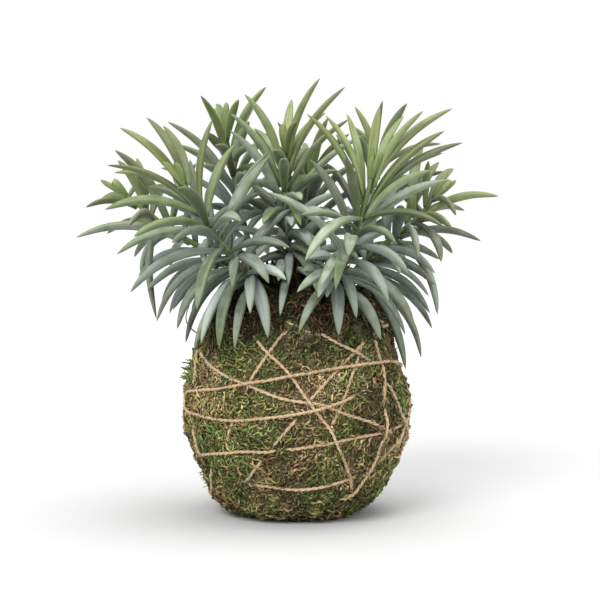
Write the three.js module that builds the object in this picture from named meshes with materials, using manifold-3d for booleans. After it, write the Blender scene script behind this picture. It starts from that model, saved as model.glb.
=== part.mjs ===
// A kokedama: a leafy plant whose root ball is wrapped in sheet moss and wound with jute twine.
// Millimetres, +Z up, front towards -Y. The origin is the centre of the flat spot it rests on.
import * as THREE from 'three';
import { mergeVertices } from 'three/addons/utils/BufferGeometryUtils.js';
import Module from 'manifold-3d';

const wasm = await Module();
wasm.setup();

// ---------------------------------------------------------------- driving dimensions

const CLEARANCE = 0.3; // kept between pieces that lie against each other
const MERGE_TOLERANCE = 1e-4;

// Outer outline of the moss, from the flat spot to the shoulder: [radius, height].
const BALL_OUTLINE = [
  [20, 0], [32, 3], [40, 9], [45.5, 18], [52, 33.5], [55.8, 48],
  [56.4, 60], [53, 74], [48.5, 87], [44, 100], [39, 108], [34, 112],
];
const BALL_RINGS = 11;
const BALL_FACETS = 24;
const MOSS_THICKNESS = 7;
const NECK_RADIUS = 29; // the moss stays open here, round the stems
const NECK_HEIGHT = 112.5;
const NECK_LIP = [2, 0.8]; // the moss's rounded lip: this much outside and above the neck
const WRAP_TOP = NECK_HEIGHT - 4; // the inside of the moss turns in to the neck above here
const SOIL_GAP = CLEARANCE + 0.05; // between the soil and the moss round it
const SOIL_DOME = 114; // the top of the soil, in the middle of the neck
// The soil's rounded top, from its edge: [inward from the neck, below the dome].
const SOIL_SHOULDER = [[0, 4.5], [5, 2.6], [14, 0.6]];
const OUTLINE_HALVINGS = 30;

const STEM_RADIUS = 1.4;
const STEM_SIDES = 6;
const STEM_STEPS = 8;
const SHEATH_RADIUS = 2.9; // the leaf bases clasp the stem in a short sheath
const SHEATH_GAP = 1.1; // between one sheath and the next
const CROWN_CAP = 1.4; // the crown's sheath closes this far above the stem's tip
const SHEATH_ROOM = 0.4; // the sheath and the soil's pocket stand this far off the stem
const SHEATH_BITE = 0.5; // the leaf bases start this far inside the sheath
const BORE_OVERRUN = 1; // the bore of a sheath goes this far past its ends
const POCKET_FOOT = 0.03; // the share of the stem that the straight foot of its pocket takes

const LEAF_WIDTH = 6.8;
const LEAF_THICKNESS = 3.6;
const LEAF_BANDS = 4;
const LEAF_SAMPLES = 9;
const LEAF_CORNERS = 3;
const BASE_WIDTH = 0.62; // a leaf's width at the sheath, as a share of its full width
const BASE_SPREAD = 1.6; // how fast it reaches its full width
const TIP_POWERS = [3, 0.8]; // how it narrows to its point
const LEAST_TAPER = 0.25; // kept in the tests for room, so that a tip keeps some air too
const YOUNG_WIDTH = 0.82; // a crown leaf's width, as a share of a grown leaf's
const GROWING_SHARE = 1 / 3; // leaves reach full size within this share of the sprig
const MOST_ROLL = 0.8; // radians that a leaf's face may roll towards the end of its stem
const LEAST_DEPTH = 0.2; // a leaf goes at least this share of its length to front or back
const ARCH_LEVEL = 0.26; // the arch of a level leaf, as a share of its length
const ARCH_UPRIGHT = 0.16; // and of an upright one
const CROWN_LEAF_LENGTH = 33;
const FULL_LEAF_LENGTH = 44;
const LEAF_AIR = 0.55; // between neighbouring leaves
const BALL_AIR = 6; // between a leaf and the moss, so that it clears the twine too
const FULL_AIR_FROM = 0.5; // from this share of a leaf's length on; less nearer its base
const RELAX_ROUNDS = 120;
const RELAX_REACH = LEAF_WIDTH * 1.6; // leaves this far apart leave each other alone
const MIDDLES_REACH = LEAF_WIDTH * 2; // and so do leaves whose middles are this much too far
const RELAX_LEAF_SHARE = 0.3; // the share of a shortfall of room that one round makes up
const RELAX_STEM_SHARE = 0.4;
const RELAX_BALL_SHARE = 0.5;
const RELAX_LIMIT = 1.5; // a tip moves at most this far in a round
const LEAST_LEVER = 0.3; // how near the base a push still turns the leaf
const KIN_FROM = 0.5; // leaves of one whorl may meet below this share of their length
const OWN_STEM_FROM = 0.15; // and a leaf its own stem
const STEM_POINTS = 30;

const TWINE_RADIUS = 1.0;
const TWINE_SIDES = 5;
const TWINE_STEP = 7;
const TWINE_SAMPLE = 1.5;
const CROSSING_LIFT = 2.15; // one strand rides over another by this much
const CROSSING_NEAR = 2.6; // full lift within this distance of the lower strand
const CROSSING_FAR = 9.5; // no lift beyond this distance
const CROSSING_APART = 1.7; // strands this many times as far along don't count as crossing
const ROUTE_SAMPLES = 12; // for each point of the route
const ROUTE_DIVISIONS = 4000; // for measuring along the finished twine

// The sprigs. route: the stem from its foot in the soil to its tip, [x, y, z].
// bare: the share of the stem below its first leaf.
// whorls: from the lowest leaves to the crown, each with its leaf tips as [x, z, facing], where
// facing runs from -1 (the leaf reaches to the front) to 1 (it reaches to the back).
const SPRIGS = [
  {
    name: 'front_left',
    route: [[-14, -12, 92], [-19, -19, 113], [-28, -29, 126], [-44, -38, 149], [-55, -43, 168]],
    bare: 0.3,
    whorls: [
      [[-29, 87, -1], [-6, 119, 0.4], [-18, 110, -1], [-8, 102, -1], [-43, 104, 0.8]],
      [[-37, 88, -1], [-3, 154, 0.4], [-58, 96, -0.5], [-30, 119, -1], [-12, 124, -0.8]],
      [[-70, 101, 0.1], [-4, 132, -0.6], [-80, 113, -0.4], [-47, 108, -1], [-42, 122, 1]],
      [[-13, 182, -0.2], [-58, 140, -1], [-87, 132, 0.2], [-26, 150, -0.9], [-22, 152, 1]],
      [[-77, 142, -0.9], [-56, 165, -1], [-30, 185, 0.4], [-73, 164, 0.8], [-92, 154, -0.2]],
      [[-41, 197, 0], [-50, 191, -0.7], [-88, 180, -0.5], [-88, 173, 0.6], [-85, 194, 0.3],
        [-72, 198, 0.6], [-66, 193, -0.4]],
    ],
  },
  {
    name: 'front_right',
    route: [[12, -12, 92], [16, -20, 113], [23, -29, 126], [31, -37, 150], [36, -41, 171]],
    bare: 0.28,
    whorls: [
      [[1, 93, -1], [40, 92, -1], [-2, 112, -0.4], [18, 96, -1], [40, 108, 0.8]],
      [[28, 104, -1], [10, 114, -1], [57, 95, -0.4], [4, 131, -0.6], [10, 120, 0.9]],
      [[43, 112, -1], [-13, 164, -0.2], [5, 127, 0.2], [18, 118, -1], [53, 124, -0.6]],
      [[24, 134, -1], [6, 178, -0.2], [46, 140, -1], [75, 168, 0.1], [2, 152, -0.6], [30, 140, 1]],
      [[23, 180, -1], [72, 147, -0.5], [55, 182, -0.9], [71, 191, -0.4], [79, 187, 0.4]],
      [[7, 201, -0.1], [29, 202, 0.6], [33, 203, -0.3], [47, 206, 0.4], [51, 202, 0.9],
        [62, 200, -0.3], [73, 204, 0.3]],
    ],
  },
  {
    name: 'centre',
    route: [[-2, 2, 92], [-3, 3, 113], [-4, 4, 135], [-6, 5, 160], [-6, 6, 183]],
    bare: 0.28,
    whorls: [
      [[4, 108, -1], [-24, 120, -0.4], [16, 122, -0.6], [-9, 112, -0.9], [-14, 128, -0.9],
        [10, 118, 1]],
      [[-3, 122, -1], [-34, 138, 0.3], [24, 138, 0.3], [14, 128, -0.9], [-20, 130, -0.9], [6, 138, -1],
        [-8, 128, 1]],
      [[-2, 144, -1], [-27, 165, -0.5], [22, 160, 0.4], [14, 148, -1], [-18, 146, -1], [-30, 156, 0.8]],
      [[2, 158, -1], [33, 189, -0.1], [-39, 189, 0.1], [20, 172, -0.9], [-24, 172, -1], [8, 165, 1]],
      [[-13, 172, -1], [26, 197, 0], [-37, 197, -0.1], [4, 180, 0.9], [-11, 182, -0.9],
        [-20, 194, 0.9]],
      [[24, 213, 0.1], [-17, 215, -1], [-5, 216, 0.9], [-2, 210, 0.4], [10, 218, -0.8],
        [0, 196, -0.8]],
    ],
  },
  {
    name: 'back_left',
    route: [[-12, 13, 92], [-17, 19, 113], [-24, 25, 132], [-32, 32, 165], [-37, 36, 192]],
    bare: 0.26,
    whorls: [
      [[-50, 108, 0.9], [-18, 104, 1], [-35, 106, 1], [-24, 122, -0.9]],
      [[-58, 128, 0.8], [-15, 125, 0.9], [-38, 120, 1], [-30, 130, -0.9]],
      [[-64, 150, 0.7], [-12, 148, 0.8], [-35, 140, 1], [-22, 150, -0.9], [-50, 150, -0.4]],
      [[-70, 172, 0.5], [-8, 172, 0.6], [-38, 165, 1], [-26, 170, -1], [-50, 178, -0.5]],
      [[-63, 198, -0.1], [-61, 186, 0.3], [-14, 190, 0.5], [-40, 184, -1], [-24, 196, -0.6],
        [-18, 182, -0.9]],
      [[-46, 215, 0.2], [-34, 210, 0.7], [-17, 214, -0.1], [-51, 204, -0.4], [-37, 212, -0.4],
        [-42, 205, 1]],
    ],
  },
  {
    name: 'far_left',
    route: [[-19, 2, 93], [-24, 3, 115], [-40, 5, 128], [-59, 6, 139], [-76, 8, 151], [-87, 9, 160]],
    bare: 0.3,
    whorls: [
      [[-54, 98, 0.8], [-48, 92, -0.6], [-35, 150, 0.9], [-66, 96, 0]],
      [[-71, 104, -0.4], [-68, 100, 0.5], [-48, 160, 0.4]],
      [[-44, 127, -1], [-79, 119, -0.2], [-62, 172, 0.7], [-66, 120, 1], [-50, 158, -0.8]],
      [[-109, 150, -0.2], [-84, 126, 0.9], [-72, 176, 0.2]],
      [[-81, 187, -0.1], [-98, 138, 0.5], [-88, 140, -0.9], [-75, 165, 1]],
      [[-99, 169, 0.3], [-89, 178, -0.3], [-106, 156, -0.5], [-102, 157, 0.6], [-85, 172, 0.9]],
    ],
  },
  {
    name: 'far_right',
    route: [[19, 4, 93], [25, 6, 115], [36, 8, 128], [50, 10, 139], [62, 11, 149], [70, 12, 159]],
    bare: 0.3,
    whorls: [
      [[54, 72, -0.6], [68, 92, 0.1], [45, 100, 1], [72, 108, 0.3]],
      [[70, 102, 0.5], [69, 109, -0.5], [40, 160, 0.7], [50, 122, -1]],
      [[68, 121, -0.7], [73, 127, 0.4], [56, 118, 1], [52, 172, 0.1], [62, 148, -0.9]],
      [[92, 143, -0.2], [80, 128, 0.8], [50, 136, -1]],
      [[81, 169, 0.3], [77, 142, -0.8], [64, 187, 0.4], [86, 150, 0.8]],
      [[94, 174, 0.1], [70, 177, -0.4], [80, 176, 0.8], [78, 150, -0.9]],
    ],
  },
  {
    name: 'back_right',
    route: [[12, 14, 92], [17, 20, 113], [25, 27, 130], [36, 36, 157], [45, 41, 179]],
    bare: 0.28,
    whorls: [
      [[55, 106, 0.8], [22, 104, 1], [38, 100, 1], [28, 124, -0.9], [48, 126, -0.6]],
      [[62, 128, 0.7], [18, 130, 0.9], [42, 118, 1], [32, 130, -0.9]],
      [[70, 148, 0.7], [14, 152, 0.7], [40, 138, 1], [24, 150, -0.9], [52, 150, -0.4]],
      [[76, 170, 0.5], [14, 172, 0.6], [46, 156, 1], [58, 174, -0.5], [24, 172, -0.8]],
      [[73, 184, 0.1], [20, 189, 0.4], [50, 178, 1], [42, 178, -1], [34, 192, -0.6]],
      [[60, 206, 0], [50, 206, 0.6], [38, 204, 0.5], [66, 196, 0.5], [30, 197, 0.2]],
    ],
  },
  {
    name: 'back',
    route: [[0, 18, 92], [2, 23, 112], [4, 34, 128], [5, 46, 150], [5, 52, 169]],
    bare: 0.3,
    whorls: [
      [[14, 100, 1], [-12, 98, 1], [2, 92, 1], [-10, 124, -0.9], [12, 124, -0.9]],
      [[24, 114, 0.9], [-18, 114, 0.9], [2, 110, 1], [18, 128, -0.9]],
      [[32, 134, 0.8], [-24, 134, 0.8], [8, 126, 1], [-8, 150, -1], [20, 148, -0.9]],
      [[36, 156, 0.6], [-26, 154, 0.6], [4, 146, 1], [-10, 172, -0.9], [16, 174, -0.9]],
      [[32, 176, 0.4], [-24, 176, 0.4], [12, 168, 1], [0, 178, -0.8]],
      [[12, 200, 0.3], [-4, 198, 0.5], [22, 192, 0.5], [-14, 190, 0.3], [4, 184, 1]],
    ],
  },
];

// The twine, one length, from the tail tucked in at the front to the tail on the right.
// Each pass is [turn, points], each point [bearing, height] on the moss; bearing is in degrees
// from the front, positive to the right, and a turn adds 360.
const TWINE_PASSES = [
  [0, [[15, 47], [20, 57], [25, 66], [30, 75], [36, 83], [43, 92], [56, 101], [82, 108]]],
  [0, [[120, 108], [155, 99], [180, 84], [200, 63], [215, 42], [230, 24], [255, 13], [290, 10]]],
  [0, [[315, 14], [330, 23], [347, 40]]],
  [1, [[-7, 47], [-1, 54], [6, 63], [14, 71], [20, 76], [33, 85], [46, 92], [64, 99], [95, 103]]],
  [1, [[130, 103], [160, 94], [182, 80], [197, 58], [211, 36], [226, 19], [248, 10], [280, 9]]],
  [1, [[303, 16], [316, 30], [324, 46], [329, 56], [335, 71], [341, 81], [346, 88], [353, 96]]],
  [2, [[8, 104], [36, 105], [72, 99], [104, 94], [130, 81], [152, 60], [175, 42], [215, 32]]],
  [2, [[255, 28], [288, 31], [324, 37], [358, 40], [377, 43], [396, 45]]],
  [3, [[54, 46], [72, 49], [90, 58], [120, 70], [165, 78], [210, 86], [250, 89], [286, 83]]],
  [3, [[304, 78], [318, 74], [334, 70], [354, 64], [373, 61], [380, 58], [395, 53], [406, 49]]],
  [4, [[55, 45], [67, 40], [90, 31], [130, 21], [180, 16], [240, 16], [300, 19], [331, 21]]],
  [4, [[347, 20], [359, 19], [374, 20], [389, 23], [400, 26], [412, 31]]],
  [5, [[58, 36], [67, 45], [74, 53], [82, 62], [100, 78], [125, 94], [155, 104], [200, 107]]],
  [5, [[255, 107], [300, 105], [325, 98], [335, 92], [343, 86], [356, 76], [361, 69], [366, 62]]],
  [6, [[10, 57], [16, 50], [19, 44], [22, 39], [28, 30], [33, 21], [40, 13], [60, 9], [95, 10]]],
  [6, [[125, 18], [150, 36], [170, 58], [190, 80], [215, 97], [260, 108], [320, 108], [355, 101]]],
  [7, [[18, 93], [31, 86], [44, 79], [55, 67], [66, 49], [78, 32], [95, 19], [130, 11], [180, 9]]],
  [7, [[240, 10], [300, 12], [350, 9], [382, 10], [396, 16], [402, 23], [406, 31], [408, 40]]],
  [8, [[48, 48], [48, 56], [49, 66], [51, 75], [52, 84], [50, 91], [56, 96], [85, 98], [130, 104]]],
  [8, [[190, 108], [240, 106], [270, 99], [284, 86], [290, 75], [292, 60], [292, 44], [296, 33]]],
  [8, [[299, 22], [290, 13], [262, 9], [225, 12], [190, 26], [165, 42], [135, 60], [100, 72]]],
  [8, [[74, 78], [41, 79], [21, 78], [-2, 75], [-22, 71], [-36, 68], [-58, 65], [-78, 61]]],
  [8, [[-86, 58], [-78, 55], [-57, 53], [-35, 53], [-2, 57], [24, 63], [42, 70]]],
];

// ---------------------------------------------------------------- solids

/** A closed three.js geometry as a solid, with its faces turned outward. */
function solidOf(geometry) {
  const bare = geometry.clone();
  for (const name of Object.keys(bare.attributes)) {
    if (name !== 'position') bare.deleteAttribute(name);
  }
  const merged = mergeVertices(bare, MERGE_TOLERANCE);
  const triangles = [];
  for (let k = 0; k < merged.index.count; k += 3) {
    const [a, b, c] = [0, 1, 2].map((n) => merged.index.getX(k + n));
    if (a !== b && b !== c && c !== a) triangles.push([a, b, c]);
  }
  const corners = merged.attributes.position;
  const at = (k) => new THREE.Vector3().fromBufferAttribute(corners, k);
  const volume = triangles.reduce((sum, [a, b, c]) => sum + at(a).dot(at(b).cross(at(c))), 0);
  const turned = volume < 0 ? triangles.map(([a, b, c]) => [a, c, b]) : triangles;
  return new wasm.Manifold(new wasm.Mesh({
    numProp: 3,
    vertProperties: new Float32Array(corners.array),
    triVerts: new Uint32Array(turned.flat()),
  }));
}

/** A solid's surface as a three.js geometry. */
function geometryOf(solid) {
  const mesh = solid.getMesh();
  const geometry = new THREE.BufferGeometry();
  geometry.setAttribute('position', new THREE.BufferAttribute(mesh.vertProperties, 3));
  geometry.setIndex(new THREE.BufferAttribute(mesh.triVerts, 1));
  geometry.computeVertexNormals();
  return geometry;
}

/** A solid of revolution about +Z from points [radius, height]. */
function turned(points, facets) {
  const profile = points.map(([radius, height]) => new THREE.Vector2(radius, height));
  return new THREE.LatheGeometry(profile, facets).rotateX(Math.PI / 2);
}

/** A closed tube of regular section along a curve. */
function tube(curve, radius, sides, steps) {
  const corners = new THREE.EllipseCurve(0, 0, radius, radius).getPoints(sides).slice(0, sides);
  const settings = { extrudePath: curve, steps, bevelEnabled: false };
  return new THREE.ExtrudeGeometry(new THREE.Shape(corners), settings);
}

// ---------------------------------------------------------------- moss and soil

const outline = new THREE.SplineCurve(
  BALL_OUTLINE.map(([radius, height]) => new THREE.Vector2(radius, height)),
);

/** The outline's parameter at a height, found by halving. */
function outlineAt(height) {
  let low = 0;
  let high = 1;
  for (let k = 0; k < OUTLINE_HALVINGS; k += 1) {
    const middle = (low + high) / 2;
    if (outline.getPoint(middle).y < height) low = middle;
    else high = middle;
  }
  return (low + high) / 2;
}

/** Where the moss surface is at a bearing (radians) and height, and the way out of it. */
function mossSurface(bearing, height) {
  const t = outlineAt(height);
  const { x: radius } = outline.getPoint(t);
  const along = outline.getTangent(t);
  const outward = new THREE.Vector3(Math.sin(bearing), -Math.cos(bearing), 0);
  const point = outward.clone().multiplyScalar(radius).setZ(height);
  const normal = outward.clone().multiplyScalar(along.y).setZ(-along.x).normalize();
  return { point, normal };
}

/** A height kept within the outline's. */
function onOutline(height) {
  return THREE.MathUtils.clamp(height, 1, NECK_HEIGHT - 1);
}

/** The moss outline moved inward by a depth, as far up as the neck. */
function innerOutline(depth) {
  const points = outline.getPoints(BALL_RINGS).slice(1, -1).map((p, k) => {
    const along = outline.getTangent((k + 1) / BALL_RINGS);
    return [p.x - along.y * depth, p.y + along.x * depth];
  });
  return points.filter(([radius, height]) => radius > NECK_RADIUS && height < WRAP_TOP);
}

/** The moss: a thick wrap, open at the neck, with a flat spot under it. */
function mossWrap() {
  const outer = outline.getPoints(BALL_RINGS).map(({ x, y }) => [x, y]);
  const inner = innerOutline(MOSS_THICKNESS).reverse();
  const lip = [NECK_RADIUS + NECK_LIP[0], NECK_HEIGHT + NECK_LIP[1]];
  const [, floorHeight] = inner.at(-1);
  return turned(
    [[0, 0], ...outer, lip, [NECK_RADIUS, NECK_HEIGHT], ...inner, [0, floorHeight]],
    BALL_FACETS,
  );
}

/** The soil and roots that fill the moss, with a pocket for each stem's foot. */
function rootBall(stemPockets) {
  const [[footRadius, footHeight], ...side] = innerOutline(MOSS_THICKNESS + SOIL_GAP);
  const bottom = footHeight + CLEARANCE;
  const shoulder = SOIL_SHOULDER.map(([inward, below]) => (
    [NECK_RADIUS - SOIL_GAP - inward, SOIL_DOME - below]
  ));
  const ball = turned(
    [[0, bottom], [footRadius, bottom], ...side, ...shoulder, [0, SOIL_DOME]],
    BALL_FACETS,
  );
  return stemPockets.reduce((soil, pocket) => soil.subtract(pocket), solidOf(ball));
}

// ---------------------------------------------------------------- leaves

const UP = new THREE.Vector3(0, 0, 1);
const [HALF_WIDTH, HALF_DEPTH, HALF_STEP] = [0.5, 0.62, 0.6]; // the half sizes of a leaf's sample
const KEEL = 2 / 3; // the keel's depth below the leaf's middle, as a share of its thickness
const STRAIGHT_UP = 0.1; // a leaf that leans less than this takes its upper side from its lean

/** One leaf: an arched curve from the stem to its tip, and the section that follows it. */
class Leaf {
  constructor(sprig, whorl, stemPoint, stemAlong, age, [x, z, facing]) {
    this.sprig = sprig;
    this.whorl = whorl;
    this.stemAlong = stemAlong;
    const grown = Math.min(1, age / GROWING_SHARE);
    const length = THREE.MathUtils.lerp(CROWN_LEAF_LENGTH, FULL_LEAF_LENGTH, grown);
    this.width = LEAF_WIDTH * THREE.MathUtils.lerp(YOUNG_WIDTH, 1, grown);
    const flat = new THREE.Vector3(x - stemPoint.x, 0, z - stemPoint.z);
    const left = length ** 2 - flat.lengthSq();
    const depth = Math.sqrt(Math.max(left, (LEAST_DEPTH * length) ** 2));
    this.tip = new THREE.Vector3(x, stemPoint.y + facing * depth, z);
    const reach = this.tip.clone().sub(stemPoint);
    reach.addScaledVector(stemAlong, -reach.dot(stemAlong));
    reach.setLength(SHEATH_RADIUS - SHEATH_BITE);
    this.base = stemPoint.clone().add(reach);
    this.span = this.tip.distanceTo(this.base);
    this.bend();
  }

  /** The curve, and the roll that turns the leaf's face to the end of its stem. */
  bend() {
    const chord = this.tip.clone().sub(this.base);
    const length = chord.length();
    const way = chord.clone().divideScalar(length);
    const upper = UP.clone().addScaledVector(way, -way.z);
    if (upper.length() < STRAIGHT_UP) upper.set(way.x, way.y, 0);
    upper.normalize();
    const arch = length * THREE.MathUtils.lerp(ARCH_LEVEL, ARCH_UPRIGHT, way.z);
    const middle = this.base.clone().addScaledVector(chord, 0.5).addScaledVector(upper, arch);
    this.curve = new THREE.QuadraticBezierCurve3(this.base, middle, this.tip);
    this.side = way.clone().cross(upper).normalize();
    this.roll = 0;
    const { side: across, upper: face } = this.sample(0.5);
    const wanted = Math.atan2(-this.stemAlong.dot(across), this.stemAlong.dot(face));
    this.roll = THREE.MathUtils.clamp(wanted, -MOST_ROLL, MOST_ROLL);
    this.samples = Array.from(
      { length: LEAF_SAMPLES },
      (_, k) => this.sample((k + 1) / LEAF_SAMPLES),
    );
  }

  /** Width and thickness shrink to a point at the tip. */
  taper(t) {
    const [late, blunt] = TIP_POWERS;
    return Math.min(1, BASE_WIDTH + BASE_SPREAD * t) * (1 - Math.min(1, t) ** late) ** blunt;
  }

  /** The leaf's place, directions and taper at a share of its length. */
  sample(t) {
    const along = this.curve.getTangent(t);
    const side = this.side.clone().applyAxisAngle(along, -this.roll);
    const upper = side.clone().cross(along).normalize();
    const taper = Math.max(this.taper(t), LEAST_TAPER);
    return { t, point: this.curve.getPoint(t), along, side, upper, taper };
  }

  /** How far the leaf reaches from a sample in a direction. */
  reach(sample, direction) {
    return Math.hypot(
      HALF_WIDTH * this.width * sample.taper * sample.side.dot(direction),
      HALF_DEPTH * LEAF_THICKNESS * sample.taper * sample.upper.dot(direction),
      HALF_STEP * (FULL_LEAF_LENGTH / LEAF_SAMPLES) * sample.along.dot(direction),
    );
  }

  /** The closed solid: flat above, keeled below, bent along the curve. */
  geometry() {
    const shape = new THREE.CylinderGeometry(0, 1, 1, LEAF_CORNERS, LEAF_BANDS);
    const corners = shape.attributes.position;
    const edge = Math.sin(Math.PI / LEAF_CORNERS);
    for (let k = 0; k < corners.count; k += 1) {
      const t = Math.min(1, corners.getY(k) + 0.5);
      const radius = Math.max(1 - t, MERGE_TOLERANCE);
      const across = (corners.getX(k) / radius / edge) * (this.width / 2) * this.taper(t);
      const below = (corners.getZ(k) / radius) * KEEL * LEAF_THICKNESS * this.taper(t);
      const { point, side, upper } = this.sample(t);
      point.addScaledVector(side, across).addScaledVector(upper, -below);
      corners.setXYZ(k, point.x, point.y, point.z);
    }
    return shape;
  }
}

/** Moves a leaf's tip so that a sample on it moves by a push. */
function push(leaf, sample, direction, distance) {
  leaf.shift.addScaledVector(direction, distance / Math.max(sample.t, LEAST_LEVER));
}

/** Pushes apart the samples of two leaves that come too near. */
function partLeaves(one, other) {
  const kin = one.whorl === other.whorl && one.sprig === other.sprig;
  const from = kin ? KIN_FROM : 0;
  for (const a of one.samples) {
    for (const b of other.samples) {
      if (Math.max(a.t, b.t) < from) continue;
      const apart = a.point.clone().sub(b.point);
      const distance = apart.length();
      if (distance > RELAX_REACH) continue;
      const direction = distance > MERGE_TOLERANCE ? apart.divideScalar(distance) : UP.clone();
      const short = one.reach(a, direction) + other.reach(b, direction) + LEAF_AIR - distance;
      if (short <= 0) continue;
      push(one, a, direction, short * RELAX_LEAF_SHARE);
      push(other, b, direction, -short * RELAX_LEAF_SHARE);
    }
  }
}

/** Pushes a leaf off a stem, given as points along it. */
function partFromStem(leaf, sprig, stemPoints) {
  const first = leaf.sprig === sprig ? OWN_STEM_FROM : 0;
  for (const sample of leaf.samples.filter(({ t }) => t > first)) {
    for (const point of stemPoints) {
      const apart = sample.point.clone().sub(point);
      const distance = apart.length();
      if (distance > RELAX_REACH) continue;
      const direction = apart.divideScalar(Math.max(distance, MERGE_TOLERANCE));
      const short = leaf.reach(sample, direction) + SHEATH_RADIUS + LEAF_AIR - distance;
      if (short > 0) push(leaf, sample, direction, short * RELAX_STEM_SHARE);
    }
  }
}

/** Pushes a leaf off the moss. */
function partFromBall(leaf) {
  for (const sample of leaf.samples) {
    const { point } = sample;
    if (point.z > SOIL_DOME + BALL_AIR) continue;
    const bearing = Math.atan2(point.x, -point.y);
    const under = mossSurface(bearing, onOutline(point.z));
    const height = point.clone().sub(under.point).dot(under.normal);
    const air = BALL_AIR * Math.min(1, sample.t / FULL_AIR_FROM);
    const short = air + LEAF_THICKNESS / 2 - height;
    if (short > 0) push(leaf, sample, under.normal, short * sample.t * RELAX_BALL_SHARE);
  }
}

/** Leaves push each other aside, as they do when they grow, until they lie clear. */
function relax(leaves, stems) {
  for (let round = 0; round < RELAX_ROUNDS; round += 1) {
    for (const leaf of leaves) leaf.shift = new THREE.Vector3();
    leaves.forEach((one, k) => {
      for (const other of leaves.slice(k + 1)) {
        const near = (one.span + other.span) / 2 + MIDDLES_REACH;
        const middles = one.curve.getPoint(0.5).distanceTo(other.curve.getPoint(0.5));
        if (middles < near) partLeaves(one, other);
      }
      for (const { sprig, points } of stems) partFromStem(one, sprig, points);
      partFromBall(one);
    });
    for (const leaf of leaves) {
      leaf.tip.add(leaf.shift.clampLength(0, RELAX_LIMIT));
      leaf.tip.sub(leaf.base).setLength(leaf.span).add(leaf.base);
      leaf.bend();
    }
  }
}

// ---------------------------------------------------------------- sprigs

/** A stem, its pocket in the soil and the places of its whorls. */
class Sprig {
  constructor({ name, route, bare, whorls }) {
    this.name = name;
    this.curve = new THREE.CatmullRomCurve3(route.map((point) => new THREE.Vector3(...point)));
    this.length = this.curve.getLength();
    this.gap = SHEATH_GAP / this.length / 2;
    const tipRoom = CROWN_CAP / this.length;
    const spacing = (1 - tipRoom - bare) / whorls.flat().length;
    let placed = 0;
    this.whorls = whorls.map((tips, whorl) => {
      const from = bare + placed * spacing;
      const leaves = tips.map((tip, k) => {
        const along = from + (k + 0.5) * spacing;
        const [point, way] = [this.curve.getPointAt(along), this.curve.getTangentAt(along)];
        return new Leaf(name, whorl, point, way, 1 - along, tip);
      });
      placed += tips.length;
      return { from: from + this.gap, to: bare + placed * spacing - this.gap, leaves };
    });
    this.whorls.at(-1).to = 1;
  }

  /** The stem's solid. */
  stem() {
    return tube(this.curve, STEM_RADIUS, STEM_SIDES, STEM_STEPS);
  }

  /** The pocket that the stem's foot takes in the soil. */
  pocket() {
    const foot = this.curve.getPointAt(0).addScaledVector(this.curve.getTangentAt(0), -SHEATH_ROOM);
    const wide = STEM_RADIUS + SHEATH_ROOM;
    const line = new THREE.LineCurve3(foot, this.curve.getPointAt(POCKET_FOOT));
    const end = tube(line, wide, STEM_SIDES, 1);
    return solidOf(tube(this.curve, wide, STEM_SIDES, STEM_STEPS)).add(solidOf(end));
  }

  /** A straight rod on the stem's line, longer than the stretch by below and above. */
  rod({ from, to }, radius, below, above) {
    const bottom = this.curve.getPointAt(from);
    const top = this.curve.getPointAt(to);
    const way = top.clone().sub(bottom).normalize();
    return solidOf(
      turned([[0, 0], [radius, 0], [radius, 1], [0, 1]], STEM_SIDES)
        .scale(1, 1, top.distanceTo(bottom) + below + above)
        .translate(0, 0, -below)
        .applyQuaternion(new THREE.Quaternion().setFromUnitVectors(UP, way))
        .translate(bottom.x, bottom.y, bottom.z),
    );
  }

  /** A whorl: its leaves, joined by the sheath that clasps the stem, clear of the next sheaths. */
  whorlSolid(level) {
    const whorl = this.whorls[level];
    const stemRoom = (STEM_RADIUS + SHEATH_ROOM) / Math.cos(Math.PI / STEM_SIDES);
    const isCrown = whorl === this.whorls.at(-1);
    const bore = this.rod(whorl, stemRoom, BORE_OVERRUN, isCrown ? SHEATH_ROOM : BORE_OVERRUN);
    const joined = whorl.leaves.reduce(
      (solid, leaf) => solid.add(solidOf(leaf.geometry())),
      this.rod(whorl, SHEATH_RADIUS, 0, isCrown ? CROWN_CAP : 0),
    );
    const roomy = SHEATH_RADIUS + CLEARANCE;
    const neighbours = [this.whorls[level - 1], this.whorls[level + 1]].filter(Boolean);
    return neighbours.reduce(
      (solid, next) => solid.subtract(this.rod(next, roomy, CLEARANCE, CLEARANCE)),
      joined.subtract(bore),
    );
  }
}

// ---------------------------------------------------------------- twine

/** How much a strand is raised at a distance from the strand below it: 1 near, 0 far. */
function raise(distance) {
  const t = THREE.MathUtils.clamp((CROSSING_FAR - distance) / (CROSSING_FAR - CROSSING_NEAR), 0, 1);
  return t * t * (3 - 2 * t);
}

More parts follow.
